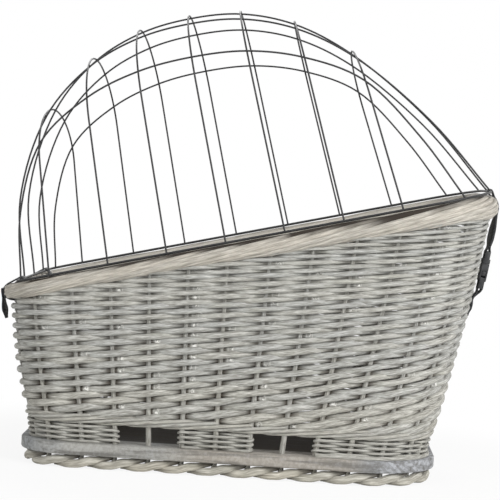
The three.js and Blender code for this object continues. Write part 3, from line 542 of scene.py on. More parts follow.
def makeRodSweep(rule):
    tree, given, result = newGroup("rodSweep", "GeometryNodeTree", {
        "Paths": ("Geometry", None), "Sides": ("Int", rule["sides"]),
        "Thickness Spread": ("Float", rule["spread"]), "Unevenness": ("Float", rule["unevenness"]),
        "Seed": ("Int", 1), "Finish": ("Material", None),
    }, {"Rods": "Geometry"})
    given = given.outputs

    def store(geometry, name, kind, domain, value):
        inputs = {"Geometry": geometry, "Name": name, "Value": value}
        node = addNode(tree, "GeometryNodeStoreNamedAttribute", inputs, data_type=kind, domain=domain)
        return node.outputs["Geometry"]

    def randomValue(low, high, seedShift):
        inputs = {2: low, 3: high, "Seed": calculate(tree, "ADD", given["Seed"], seedShift)}
        return addNode(tree, "FunctionNodeRandomValue", inputs, data_type="FLOAT").outputs[1]

    def named(name):
        node = addNode(tree, "GeometryNodeInputNamedAttribute", {"Name": name}, data_type="FLOAT")
        return node.outputs["Attribute"]

    def position():
        return addNode(tree, "GeometryNodeInputPosition").outputs[0]

    curves = addNode(tree, "GeometryNodeMeshToCurve", {0: given["Paths"]}).outputs[0]
    curves = store(curves, "rodTone", "FLOAT", "CURVE", randomValue(0.0, 1.0, 0.0))
    thin, thick = (calculate(tree, side, 1.0, given["Thickness Spread"]) for side in ("SUBTRACT", "ADD"))
    curves = store(curves, "rodGirth", "FLOAT", "CURVE", randomValue(thin, thick, rule["girthSeed"]))
    length = addNode(tree, "GeometryNodeSplineParameter").outputs["Length"]
    curves = store(curves, "rodAlong", "FLOAT", "POINT", length)
    lumps = calculate(tree, "SUBTRACT", noiseAt(tree, position(), *rule["lumpNoise"]), 0.5)
    uneven = calculate(tree, "MULTIPLY_ADD", lumps, given["Unevenness"], 1.0)
    girth = multiply(tree, named("rodRadius"), named("rodGirth"))
    circle = addNode(tree, "GeometryNodeCurvePrimitiveCircle", {"Radius": 1.0, "Resolution": given["Sides"]})
    profile = store(circle.outputs["Curve"], "rodAround", "FLOAT_VECTOR", "POINT", position())
    swept = addNode(tree, "GeometryNodeCurveToMesh", {
        "Curve": curves, "Profile Curve": profile, "Scale": multiply(tree, girth, uneven), "Fill Caps": True})
    smooth = addNode(tree, "GeometryNodeSetShadeSmooth", {"Geometry": swept.outputs[0]})
    real = addNode(tree, "GeometryNodeRealizeInstances", {"Geometry": smooth.outputs[0]})
    coat = {"Geometry": real.outputs[0], "Material": given["Finish"]}
    feed(tree, result.inputs["Rods"], addNode(tree, "GeometryNodeSetMaterial", coat).outputs[0])
    return tree


rodSweep = makeRodSweep(rodDefaults)


# One chain of edges for each rod; a rod is a list of (point, radius, wash with painted shade and light), in
# millimetres
def chainMesh(name, rods, closed):
    points, edges, radii, washShadeAndLight = [], [], [], []
    for rod in rods:
        first, last = len(points), len(points) + len(rod) - 1
        for point, radius, washed in rod:
            points.append(point * mm)
            radii.append(radius * mm)
            washShadeAndLight.append(washed)
        edges += [(k, k + 1) for k in range(first, last)]
        if closed:
            edges.append((last, first))
    mesh = bpy.data.meshes.new(name)
    mesh.from_pydata(points, edges, [])
    for label, values in (("rodRadius", radii), ("rodWashShadeAndLight", washShadeAndLight)):
        mesh.attributes.new(label, "FLOAT", "POINT").data.foreach_set("value", values)
    return mesh


def addPiece(name, mesh, body, nodes):
    piece = addObject(name, mesh)
    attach(piece, body)
    if nodes:
        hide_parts(*nodes)


# The shape that an object's modifiers give, as a plain mesh; the object itself goes
def plainMesh(holder, name):
    source = holder.data
    depsgraph = bpy.context.evaluated_depsgraph_get()
    shaped = holder.evaluated_get(depsgraph)
    mesh = bpy.data.meshes.new_from_object(shaped, preserve_all_data_layers=True, depsgraph=depsgraph)
    bpy.data.objects.remove(holder)
    bpy.data.meshes.remove(source)
    mesh.name = name
    return mesh


def sweepRods(name, rods, finish, nodes, look, body="basket", closed=False):
    holder = addObject(name + "Paths", chainMesh(name + "Paths", rods, closed))
    modifier = holder.modifiers.new("rodSweep", "NODES")
    modifier.node_group = rodSweep
    settings = {"Finish": finish, **look}
    for item in rodSweep.interface.items_tree:
        if item.name in settings:
            modifier[item.identifier] = settings[item.name]
    addPiece(name, plainMesh(holder, name), body, nodes)


# Side weave: rods climb round the wall, in front of one stake and behind the next, in rows that grow
# # thinner. Each slants a little over its stake; painted shade darkens it behind, and a few white flecks are
# painted specks of light
sideWeave = {
    "rowPitch": 7.15, "rowReach": 386, "droppedRows": 10, "climbSwing": 0.35, "startRow": -1, "mostRows": 60,
    "rodShare": 0.6, "wallHalf": 7, "sunkFace": 1, "tightness": ((6, 2.2), (34, 4.5)), "tuck": 10,
    "startDepth": 6, "startRows": (0.2, -0.8), "wander": 1.3, "wanderPace": (0.55, 3.7),
    "slant": ((-200, 0.8), (40, 0.9), (150, 1.5), (225, 1.2)), "slantRows": (2, 26), "leastSlant": 0.4,
    "shade": (0.04, 0.55), "shadeRows": (3, 26), "shadeSwing": (-0.95, 0.0),
    "fleckFrom": 0.6, "fleckPace": (3.1, 5.3), "fleckSpan": (0.15, 0.3), "fleckLight": 2.4,
    "fleckStake": -1, "fleckRows": (6, 25), "steps": 8, "fewestPoints": 4,
    "look": {"Sides": 8, "Seed": 3, "Unevenness": 0.3, "Thickness Spread": 0.1},
}
highEndTurn = (sum(stretchLengths[:2]) + stretchLengths[2] / 2) / outlineLength


# Rows climbed by a rod: one for each stake less the rows dropped, with the steepest climb at the high end
def rowsClimbed(rule, count):
    turn = strokeDistance(count) / outlineLength
    full = 2 * math.pi
    swing = math.sin(full * (turn - highEndTurn)) + math.sin(full * highEndTurn)
    return count - rule["droppedRows"] * turn + rule["climbSwing"] * stakeCount / full * swing


def sideHeight(rule, rod, row, count, thinning):
    z = basketPlan["wallBottom"] + rule["rowReach"] * (1 - thinning)
    pace = rule["wanderPace"]
    z += rule["wander"] * wobble(count * pace[0], rod * pace[1])
    slant = eased(rule["slant"], onOutline(basePlan, strokePlace(count)).x)
    slant *= between(1, rule["leastSlant"], smoothStep(*rule["slantRows"], row))
    return z + slant * math.sin(math.pi * (count - rod - 1))


def sideWashShadeAndLight(rule, rod, row, count, swing):
    thin = between(*rule["shade"], smoothStep(*rule["shadeRows"], row))
    pace, span, rows = rule["fleckPace"], rule["fleckSpan"], rule["fleckRows"]
    # Painted specks of light: white flecks just past the stake that the rod goes behind
    if span[0] < (count - rod - 2) % 2 < span[1]:
        listed = math.floor(count) % stakeCount == rule["fleckStake"] % stakeCount and rows[0] < row < rows[1]
        chance = noise.cell(Vector((rod * pace[0], count // 2 * pace[1], 0.5)))
        if listed or chance > rule["fleckFrom"]:
            return rule["fleckLight"]
    # Painted shade: darker where the rod swings behind a stake, most in the lower rows
    return between(thin, 1, smoothStep(*rule["shadeSwing"], swing))


def sideRods(rule):
    steps = rule["steps"]
    limits = [borderLevel(strokePlace(step / steps), 1) + rule["tuck"] for step in range(stakeCount * steps)]
    climbed = []
    while not climbed or climbed[-1] < stakeCount + rule["mostRows"]:
        climbed.append(rowsClimbed(rule, len(climbed) / steps))
    runs = []
    for rod in range(stakeCount - rule["droppedRows"]):
        run = []
        for step, rows in enumerate(climbed):
            row, count = rows - rod, step / steps
            if not rule["startRow"] <= row <= rule["mostRows"]:
                continue
            thinning = math.exp(-row * rule["rowPitch"] / rule["rowReach"])
            radius = rule["rodShare"] * rule["rowPitch"] * thinning
            z = sideHeight(rule, rod, row, count, thinning)
            if z > limits[step % len(limits)]:
                runs.append(run)
                run = []
                continue
            swing = weaveSwing(count - rod - 1, eased(rule["tightness"], row))
            room = rule["wallHalf"] - radius if swing > 0 else radius - rule["sunkFace"]
            depth = room * swing - rule["startDepth"] * smoothStep(*rule["startRows"], row)
            washShadeAndLight = sideWashShadeAndLight(rule, rod, row, count, swing)
            run.append((wallPoint(strokePlace(count), z, depth), radius, washShadeAndLight))
        runs.append(run)
    return [run for run in runs if len(run) >= rule["fewestPoints"]]


sweepRods("side_weave_rods", sideRods(sideWeave), wallWillow,
          ["side_weave"], sideWeave["look"])
print("side weave woven")

# Wale: four thin rods that each pass outside three stakes and inside the fourth
wale = {
    "rods": 4, "middle": 53.8, "rise": 4.1, "radius": 2.0, "hold": 2.4, "steps": 8,
    "paintedShadeWash": 0.4, "shadeSwing": (-0.8, 0.0), "look": {"Seed": 5},
}


def waleRods(rule):
    centre = (rule["rods"] - 1) / (2 * rule["rods"])
    shift = -math.cos(2 * math.pi * centre)
    climbs = ((0, -1), (2 * centre, 1), (1, -1))
    rods = []
    for rod in range(rule["rods"]):
        run = []
        for step in range(stakeCount * rule["steps"] + 1):
            gone = step / rule["steps"]
            phase = (gone / rule["rods"] + centre + 0.5) % 1
            bow = math.cos(2 * math.pi * (phase - centre)) + shift
            swing = bow / (1 + shift) if bow > 0 else bow / (1 - shift)
            z = rule["middle"] + rule["rise"] * eased(climbs, phase)
            depth = (rule["hold"] + rule["radius"]) * max(swing, -1)
            # Painted shade: darker where the rod swings behind a stake
            washShadeAndLight = between(rule["paintedShadeWash"], 1, smoothStep(*rule["shadeSwing"], swing))
            run.append((wallPoint(strokePlace(rod + gone), z, depth), rule["radius"], washShadeAndLight))
        rods.append(run)
    return rods


sweepRods("wale_rods", waleRods(wale), wallWillow,
          ["wale_outer", "wale_inner"], wale["look"])
print("wale woven")

# Lower weave: each band is one thin rod worked to and fro, turned back round the stakes beside the slots
lowerWeave = {
    "rows": 7, "radius": 1.5, "thickRadius": 2.6, "thickBand": "high_end", "hold": 2.2, "tightness": 2,
    "steps": 8, "turnSteps": 6, "turnWash": 0.9, "paintedShadeWash": 0.4, "shadeSwing": (-0.95, -0.3),
    "slotSteps": (1, 3), "look": {"Seed": 9, "Unevenness": 0.15},
}


def bandRod(rule, band, firstStake, lastStake):
    pitch = (basketPlan["lowerWeaveTop"] - basketPlan["boardTop"]) / rule["rows"]
    count = (lastStake - firstStake) * rule["steps"]
    run = []
    for row in range(rule["rows"]):
        thick = row == 0 and band == rule["thickBand"]
        radius = rule["thickRadius"] if thick else rule["radius"]
        z = basketPlan["boardTop"] + pitch * (row + 0.5)
        forward = row % 2 == 0
        for step in range(count + 1) if forward else range(count, -1, -1):
            gone = step / rule["steps"]
            swing = 1 if thick else weaveSwing(gone + row, rule["tightness"])
            # Painted shade: darker where the rod swings behind a stake
            washShadeAndLight = between(rule["paintedShadeWash"], 1, smoothStep(*rule["shadeSwing"], swing))
            point = wallPoint(strokePlace(firstStake + gone), z, (rule["hold"] + radius) * swing)
            run.append((point, radius, washShadeAndLight))
        if row == rule["rows"] - 1:
            break
        place = strokePlace(lastStake if forward else firstStake)
        middle, out = wallPoint(place, z + pitch / 2), outlineAt(basePlan, place)[1]
        side = Vector((-out.y, out.x, 0)) * (1 if forward else -1)
        reach = (run[-1][0] - middle).dot(out)
        for step in range(1, rule["turnSteps"]):
            share = step / rule["turnSteps"]
            bend = out * reach * math.cos(math.pi * share) + side * abs(reach) * math.sin(math.pi * share)
            point = middle + bend
            point.z = z + pitch * share
            run.append((point, radius, rule["turnWash"]))
    return run


farStake = min(range(stakeCount), key=lambda k: abs(stakeDistances[k] - farMiddle))
inner, outer = lowerWeave["slotSteps"]
bandEnds = {
    "near_middle": (-inner, inner),
    "high_end": (outer, farStake - outer),
    "far_middle": (farStake - inner, farStake + inner),
    "low_end": (farStake + outer, stakeCount - outer),
}
for band, ends in bandEnds.items():
    sweepRods(f"lower_weave_{band}_rods", [bandRod(lowerWeave, band, *ends)], wallWillow,
              [f"lower_weave_{band}"], lowerWeave["look"])
print("lower weave woven")

# Stakes: straight rods from the foot border through the board and the weave into the border
stakes = {
    "footHeight": 9, "radii": (3.0, 2.3), "topLevel": 0.5, "washShadeAndLight": 0.85, "steps": 14,
    "slotSteps": (-3, -2, -1, 1, 2, 3), "hiddenSeed": 21,
}


def stakeRod(rule, number):
    place = strokePlace(number)
    top = borderLevel(place, rule["topLevel"])
    rod = []
    for step in range(rule["steps"] + 1):
        share = step / rule["steps"]
        point = wallPoint(place, between(rule["footHeight"], top, share))
        rod.append((point, between(*rule["radii"], share), rule["washShadeAndLight"]))
    return rod


slotStakes = {}
for side, middle in (("near", 0), ("far", farStake)):
    for order, step in enumerate(stakes["slotSteps"]):
        slotStakes[(middle + step) % stakeCount] = f"stake_{side}_{order + 1}"
for number, node in slotStakes.items():
    sweepRods(node + "_rod", [stakeRod(stakes, number)], wallWillow, [node], {"Seed": number})
hidden = [stakeRod(stakes, number) for number in range(stakeCount) if number not in slotStakes]
sweepRods("stakes_in_weave", hidden, wallWillow, [], {"Seed": stakes["hiddenSeed"]})
print("stakes set")

# Foot border: each stake's end is laid down along the two stakes before it and tucked in
footBorder = {
    "strokes": 1.8, "radius": 4.7, "steps": 28,
    "rise": ((0, 16), (0.05, 12.9), (0.36, 9), (0.64, 4.9), (1, 3.2)),
    "reach": ((0, 0), (0.1, 2.6), (0.45, 5), (0.75, 4.6), (1, -1)),
    "girth": ((0, 0.5), (0.12, 0.66), (0.4, 1), (0.7, 0.92), (1, 0.35)),
    # Painted shade: dark at the start, under the board beside the stake, and at the tucked-in end
    "washShadeAndLight": ((0, 0.05), (0.16, 0.4), (0.32, 1.1), (0.66, 1.1), (0.88, 0.7), (1, 0.3)),
    "look": {"Seed": 13, "Sides": 10},
}


def footRods(rule):
    rods = []
    for stake in range(stakeCount):
        run = []
        for step in range(rule["steps"] + 1):
            share = step / rule["steps"]
            spot, out = outlineAt(basePlan, strokePlace(stake - rule["strokes"] * share))
            foot = spot + out * eased(rule["reach"], share)
            point = Vector((foot.x + shiftX, foot.y, eased(rule["rise"], share)))
            run.append((point, rule["radius"] * eased(rule["girth"], share), eased(rule["washShadeAndLight"], share)))
        rods.append(run)
    return rods


sweepRods("foot_border_rods", footRods(footBorder), footWillow,
          ["foot_border"], footBorder["look"])
print("foot border laid")

# Rim border: each stake's end sweeps up the outside, over the top and down the inside. Angles round the
# # border are in degrees from straight out; painted shade in the bark colour lies under the ring, less so in
# patches lower down
rimBorder = {
    "strokes": 11, "start": -105, "sweep": 330, "radius": 3.05, "leastGirth": 0.6, "steps": 60,
    "girth": ((0, 0.9), (0.1, 1), (0.7, 1), (1, 0.65)), "looseness": 0.13, "loosePace": (7.37, 2.6),
    "thinning": ((-233, 1), (-140, 3), (-35, 4), (55, 2.5), (165, 4), (250, 4.5), (282, 1.5)),
    "ringShadeFrom": ((-233, 68), (-60, 58), (60, 50), (110, 36), (210, 36), (270, 62)), "ringShadeTo": 112,
    "ringShadeEdges": (10, 12), "ringShadeWander": 25, "ringShadePace": 0.03, "farRingShade": 0.2, "patch": (0.05, 0.45),
    "patchPace": (3.37, 13), "patchSeed": 2.5, "patchDepth": 0.42, "patchBelow": (76, 58),
    "innerPaintedLight": 0.4, "innerLightFrom": (105, 135),
    "look": {"Seed": 17, "Sides": 10, "Unevenness": 0.08},
}


def rimWashShadeAndLight(rule, stake, share, angle, spot, point):
    # Painted shade in the bark colour: a band under the ring on the near side, weaker on the far side and in
    # patches lower down
    lower, upper = rule["ringShadeEdges"]
    wander = rule["ringShadeWander"] * noise.noise(point * rule["ringShadePace"])
    barkAndShade = smoothStep(-lower, lower, angle - eased(rule["ringShadeFrom"], spot.x) + wander)
    barkAndShade *= 1 - smoothStep(-upper, upper, angle - rule["ringShadeTo"])
    if spot.y >= 0:
        barkAndShade *= rule["farRingShade"]
    pace = rule["patchPace"]
    patch = smoothStep(*rule["patch"], wobble(stake * pace[0], share * pace[1], rule["patchSeed"]))
    barkAndShade *= 1 - rule["patchDepth"] * patch * smoothStep(*rule["patchBelow"], angle)
    # Painted light: the inner face is made paler with a wash above 1
    return 1 - barkAndShade + rule["innerPaintedLight"] * smoothStep(*rule["innerLightFrom"], angle)


def rimRods(rule):
    rods = []
    pace = rule["loosePace"]
    for stake in range(stakeCount):
        run = []
        for step in range(rule["steps"] + 1):
            share = step / rule["steps"]
            angle = rule["start"] + rule["sweep"] * share
            turn = math.radians(angle)
            spot, out = outlineAt(borderPlan, strokePlace(stake + rule["strokes"] * share))
            height = borderHeightAt(spot.x) - eased(rule["thinning"], spot.x)
            radius = rule["radius"] * eased(rule["girth"], share)
            radius *= between(rule["leastGirth"], 1, height / basketPlan["highBorderHeight"])
            loose = 1 + rule["looseness"] * wobble(stake * pace[0], share * pace[1])
            middle = spot + out * (basketPlan["borderWidth"] / 2 - radius) * loose * math.cos(turn)
            up = (height / 2 - radius) * min(loose * math.sin(turn), 1)  # the ring holds the top down
            point = rimToBase(middle.x, middle.y, basketPlan["borderTop"] - height / 2 + up)
            run.append((point, radius, rimWashShadeAndLight(rule, stake, share, angle, spot, point)))
        rods.append(run)
    return rods


sweepRods("rim_border_rods", rimRods(rimBorder), borderWillow,
          ["rim_border"], rimBorder["look"])
print("rim border rolled")


# Meshes built by hand: made, given their finish, and smoothed up to a sharp angle
def meshFrom(built, name, finish):
    mesh = bpy.data.meshes.new(name)
    built.to_mesh(mesh)
    built.free()
    mesh.materials.append(finish)
    return mesh


def smoothFaces(mesh, sharpAngle):
    mesh.shade_smooth()
    mesh.set_sharp_from_angle(angle=math.radians(sharpAngle))
    return mesh


# Base board with softly rounded edges, with painted shade in dark wood on top inside the weave
boardShape = {
    "cornerSteps": 18, "edge": ((0.0, 1.9), (0.5, 0.7), (1.6, 0.0)), "bareInsets": (34, 42), "sharpAngle": 40,
}


def boardMesh(shape):
    bottom, top = basketPlan["boardBottom"], basketPlan["boardTop"]
    levels = [(bottom + up, inset) for up, inset in shape["edge"]]
    levels += [(top - up, inset) for up, inset in reversed(shape["edge"])]
    levels += [(top, inset) for inset in shape["bareInsets"]]
    built = bmesh.new()
    bareLayer = built.verts.layers.float.new("bareWood")
    rings = []
    for z, inset in levels:
        grow = basketPlan["boardReach"] - inset
        wide = {label: size + grow for label, size in basePlan.items()}
        wide["left"] = basePlan["left"] - grow
        ring = []
        for corner in (1, 3, 5, 7):
            for step in range(shape["cornerSteps"] + 1):
                spot = onOutline(wide, (corner, step / shape["cornerSteps"]))
                ring.append(built.verts.new(((spot.x + shiftX) * mm, spot.y * mm, z * mm)))
        rings.append(ring)
    for vertex in rings[-1]:
        vertex[bareLayer] = 1.0
    for low, high in zip(rings, rings[1:]):
        for k in range(len(low)):
            after = (k + 1) % len(low)
            built.faces.new((low[k], low[after], high[after], high[k]))
    built.faces.new(rings[0][::-1])
    built.faces.new(rings[-1])
    return smoothFaces(meshFrom(built, "base_board_slab", washedBoard), shape["sharpAngle"])


addPiece("base_board_slab", boardMesh(boardShape), "basket", ["base_board"])
print("board cut")

# Wire cage: ring, cross ribs and long wires, welded where they cross; long wires have an angle and a foot
cageShape = {
    "ringRadius": 1.4, "wireRadius": 1.0,
    "domeHeight": 253, "apex": 0, "lowFullness": 2.2, "highFullness": 2.35,
    "ribs": 7, "ribPitch": 63.2, "ribFan": 0.9, "shoulder": 0.68, "footHeight": 1.2,
    "longWires": {"near_lower": (20, -141), "near_upper": (57.5, -75), "centre": (90, 0),
                  "far_upper": (122.5, 75), "far_lower": (160, 141)},
    "ringSteps": 14, "legSteps": 8, "archSteps": 36, "wireSteps": 8,
    "look": {"Sides": 12, "Thickness Spread": 0.0, "Unevenness": 0.0},
}


# The dome's height at a length, and its length at a height
def domeAt(shape, u):
    side = "right" if u > shape["apex"] else "left"
    share = (u - shape["apex"]) / (ringPlan[side] - shape["apex"])
    if side == "right":
        return shape["domeHeight"] * (1 - share ** shape["highFullness"])
    return shape["domeHeight"] * (1 - share ** shape["lowFullness"]) ** (1 / shape["lowFullness"])


def domeReach(shape, w, high):
    rise = w / shape["domeHeight"]
    if high:
        return between(shape["apex"], ringPlan["right"], (1 - rise) ** (1 / shape["highFullness"]))
    share = (1 - rise ** shape["lowFullness"]) ** (1 / shape["lowFullness"])
    return between(shape["apex"], ringPlan["left"], share)


def makeRibs(shape):
    ribs = []
    for k in range(shape["ribs"]):
        foot = (k - (shape["ribs"] - 1) / 2) * shape["ribPitch"]
        top = between(shape["apex"], foot, shape["ribFan"])
        height = domeAt(shape, top)
        ribs.append({"foot": foot, "lean": (top - foot) / height, "height": height})
    return ribs


cageRibs = makeRibs(cageShape)


def archPoint(shape, rib, degrees):
    angle = math.radians(degrees)
    w = rib["height"] * between(shape["shoulder"], 1, math.sin(angle))
    return Vector((rib["foot"] + rib["lean"] * w, -ringPlan["half"] * math.cos(angle), w))


def ribPath(shape, rib):
    near = []
    for step in range(shape["legSteps"]):
        w = between(shape["footHeight"], rib["height"] * shape["shoulder"], step / shape["legSteps"])
        near.append(Vector((rib["foot"] + rib["lean"] * w, -ringPlan["half"], w)))
    arch = [archPoint(shape, rib, 180 * step / shape["archSteps"]) for step in range(shape["archSteps"] + 1)]
    return near + arch + [Vector((p.x, -p.y, p.z)) for p in reversed(near)]


# A smooth curve through knots, paced by the root of the distance between them: each level of the mix is
# made over these spans of the pace
mixSpans = (((0, 1), (1, 2), (2, 3)), ((0, 2), (1, 3)), ((1, 2),))


def smoothThrough(knots, steps):
    ends = [2 * knots[0] - knots[1]] + knots + [2 * knots[-1] - knots[-2]]
    path = []
    for k in range(len(knots) - 1):
        four = ends[k:k + 4]
        pace = [0.0]
        for a, b in zip(four, four[1:]):
            pace.append(pace[-1] + math.sqrt((b - a).length))
        for step in range(steps):
            at = between(pace[1], pace[2], step / steps)
            level = four
            for spans in mixSpans:
                shares = [(at - pace[low]) / (pace[high] - pace[low]) for low, high in spans]
                level = [a.lerp(b, share) for a, b, share in zip(level, level[1:], shares)]
            path.append(level[0])
    return path + [knots[-1]]


def ringEnd(v, high):
    spread = ringPlan["rightSpread"] if high else ringPlan["leftRadius"]
    past = max(abs(v) - (ringPlan["half"] - spread), 0) / spread
    back = 1 - math.sqrt(1 - past ** 2)
    if high:
        return ringPlan["right"] - ringPlan["rightDepth"] * back
    return ringPlan["left"] + ringPlan["leftRadius"] * back


def longWirePath(shape, degrees, footV):
    crossings = [archPoint(shape, rib, degrees) for rib in cageRibs]

    def endKnots(high):
        foot = Vector((ringEnd(footV, high), footV, shape["footHeight"]))
        index = -1 if high else 0
        rib = cageRibs[index]
        chord = (ringPlan["right" if high else "left"] + archPoint(shape, rib, 90).x) / 2
        swell = domeReach(shape, rib["height"] / 2, high) - chord
        swell *= math.sqrt(math.sin(math.radians(degrees)))
        middle = foot.lerp(crossings[index], 0.5) + Vector((swell, 0, 0))
        return [middle, foot] if high else [foot, middle]

    knots = endKnots(False) + crossings + endKnots(True)
    seated = []
    for k, rib in enumerate(cageRibs):
        along = knots[k + 3] - knots[k + 1]
        across = archPoint(shape, rib, degrees + 1) - archPoint(shape, rib, degrees - 1)
        seated.append(crossings[k] + across.cross(along).normalized() * 2 * shape["wireRadius"])
    knots[2:-2] = seated  # under the ribs
    return smoothThrough(knots, shape["wireSteps"])


def ringPath(steps):
    return [onOutline(ringPlan, (stretch, step / steps)) for stretch in range(9) for step in range(steps)]


def bendWire(node, path, radius, closed=False):
    rod = [(rimToBase(*point), radius, 1.0) for point in path]
    sweepRods(node + "_round", [rod], blackWire, [node], cageShape["look"], "cage", closed)


bendWire("ring_wire", ringPath(cageShape["ringSteps"]), cageShape["ringRadius"], closed=True)
for k, rib in enumerate(cageRibs):
    bendWire(f"cage_rib_{k + 1}", ribPath(cageShape, rib), cageShape["wireRadius"])
for name, ends in cageShape["longWires"].items():
    bendWire(f"cage_wire_{name}", longWirePath(cageShape, *ends), cageShape["wireRadius"])
print("cage bent")

# Webbing: a soft-edged band along a path in the plane of the rim's length and height
webbing = {"edgeShare": 0.75, "mostEdge": 0.5, "sharpAngle": 50, "closedEnd": 0.6, "openEnd": 0.2}


def bandSection(width, thickness):
    a, b = width / 2, thickness / 2
    c = min(b * webbing["edgeShare"], a * webbing["mostEdge"])
    under = [(-a, c - b), (c - a, -b), (0, -b), (a - c, -b), (a, c - b)]
    return under + [(-across, -up) for across, up in under]


def bandMesh(name, bands):
    built = bmesh.new()
    uvLayer = built.loops.layers.uv.new("bandUV")
    for band in bands:
        path, closed = band["path"], band.get("closed", False)
        count = len(path)
        widths = band.get("widths", [band["width"]] * count)
        leans = band.get("leans", [Vector((0, 0))] * count)
        rings, sections, lengths = [], [], [0.0]
        for k, point in enumerate(path):
            before = path[k - 1] if closed or k else point
            after = path[(k + 1) % count] if closed or k < count - 1 else point
            along = (after - before).normalized()
            lift = Vector((-along.y, along.x))
            section = bandSection(widths[k], band["thickness"])
            ring = []
            for across, up in section:
                spot = point + lift * up + leans[k] * across
                ring.append(built.verts.new(rimToBase(spot.x, band["v"] + across, spot.y) * mm))
            rings.append(ring)
            sections.append([across for across, up in section])
            lengths.append(lengths[-1] + (path[(k + 1) % count] - point).length)
        for k in range(count if closed else count - 1):
            after = (k + 1) % count
            for i in range(len(rings[k])):
                j = (i + 1) % len(rings[k])
                face = built.faces.new((rings[k][i], rings[k][j], rings[after][j], rings[after][i]))
                places = ((sections[k][i], k), (sections[k][j], k),
                          (sections[after][j], k + 1), (sections[after][i], k + 1))
                for loop, (across, end) in zip(face.loops, places):
                    loop[uvLayer].uv = (across * mm, lengths[end] * mm)
        if not closed:
            built.faces.new(rings[0][::-1])
            built.faces.new(rings[-1])
    bmesh.ops.recalc_face_normals(built, faces=built.faces)
    return smoothFaces(meshFrom(built, name, blackWebbing), webbing["sharpAngle"])


# Points an even step apart; a short last step is left out
def evenPath(points, step, closed=False):
    chain = points + [points[0]] if closed else points
    path, rest = [chain[0]], step
    for a, b in zip(chain, chain[1:]):
        length = (b - a).length
        while length > 0 and rest <= length:
            path.append(a.lerp(b, rest / length))
            rest += step
        rest -= length
    if closed and (path[-1] - path[0]).length < step * webbing["closedEnd"]:
        path.pop()
    if not closed and (path[-1] - chain[-1]).length > step * webbing["openEnd"]:
        path.append(chain[-1])
    return path


def ovalAt(centre, wide, high, count):
    turns = [2 * math.pi * k / count for k in range(count)]
    return [centre + Vector((math.cos(turn) * wide, math.sin(turn) * high)) for turn in turns]


# Hinge straps: a loop round the border and the ring's end wire, with a tapered tail that turns a little.
# The tail's points are in millimetres from the loop's outer side
hingeStrap = {
    "width": 18, "thickness": 1.5, "offset": 94, "clearance": 1.2, "borderPoints": 72, "ringPoints": 36,
    "tail": ((0.9, 5), (0.1, 2), (-0.2, -5), (-1.08, -12), (-1.32, -28)), "tailTip": 7, "taper": (0.65, 1.0),
    "tailTurn": 0.2, "turnSpan": (0.3, 0.8), "step": 1.5,
}


def roundHull(points):
    ordered = sorted(points, key=lambda p: (p.x, p.y))
    halves = []
    for chain in (ordered, ordered[::-1]):
        kept = []
        for point in chain:
            while len(kept) > 1 and (kept[-1] - kept[-2]).cross(point - kept[-1]) <= 0:
                kept.pop()
            kept.append(point)
        halves += kept[:-1]
    return halves


def hingeBands(rule, v):
    gap, end = rule["clearance"], borderPlan["left"]
    middle = Vector((end, borderMiddleAt(end)))
    wide, high = basketPlan["borderWidth"] / 2 + gap, borderHeightAt(end) / 2 + gap
    radius = cageShape["ringRadius"] + gap
    ring = ovalAt(Vector((ringPlan["left"], 0)), radius, radius, rule["ringPoints"])
    hull = roundHull(ovalAt(middle, wide, high, rule["borderPoints"]) + ring)
    left = middle + Vector((-wide - rule["thickness"], 0))
    tail = evenPath([left + Vector(spot) for spot in rule["tail"]], rule["step"])
    shares = [k / (len(tail) - 1) for k in range(len(tail))]
    widths = [between(rule["width"], rule["tailTip"], smoothStep(*rule["taper"], share)) for share in shares]
    leans = [Vector((rule["tailTurn"] * smoothStep(*rule["turnSpan"], share), 0)) for share in shares]
    strap = {"v": v, "thickness": rule["thickness"], "width": rule["width"]}
    return [{**strap, "path": evenPath(hull, rule["step"], closed=True), "closed": True},
            {**strap, "path": tail, "widths": widths, "leans": leans}]


def addWebbing(node, bands, body):
    addPiece(node + "_webbing", bandMesh(node + "_webbing", bands), body, [node])


for side, v in (("near", -hingeStrap["offset"]), ("far", hingeStrap["offset"])):
    addWebbing(f"hinge_strap_{side}", hingeBands(hingeStrap, v), "basket")
print("hinge straps looped")

# Closure strap: doubled webbing round the ring, over the border and down to the buckle
closure = {
    "width": 20, "layer": 1.15, "pair": 0.62, "offset": -34, "lean": 22.8, "reach": 46, "clearance": 1.9,
    "bends": (20, 8, -4, -16), "barRadius": 1.6, "barGap": 0.5, "easeLength": 9, "step": 1.2, "capSteps": 10,
    "maleLength": 13.5, "femaleLength": 20, "frameLength": 8.5, "anchorPlace": (2, 0.5), "anchorDrop": 91,
    "anchorLength": 14, "anchorSteps": 16, "wallHalf": 7, "stand": 1.6,
    "turn": 11, "turnFrom": (0.35, 0.65), "turnTo": (0.95, 0.75),
}


def overBorder(rule, angle):
    end = rimPlan["right"]
    wide = basketPlan["borderWidth"] / 2 + rule["clearance"]
    high = basketPlan["highBorderHeight"] / 2 + rule["clearance"]
    return Vector((end + wide * math.cos(angle), borderMiddleAt(end) + high * math.sin(angle)))


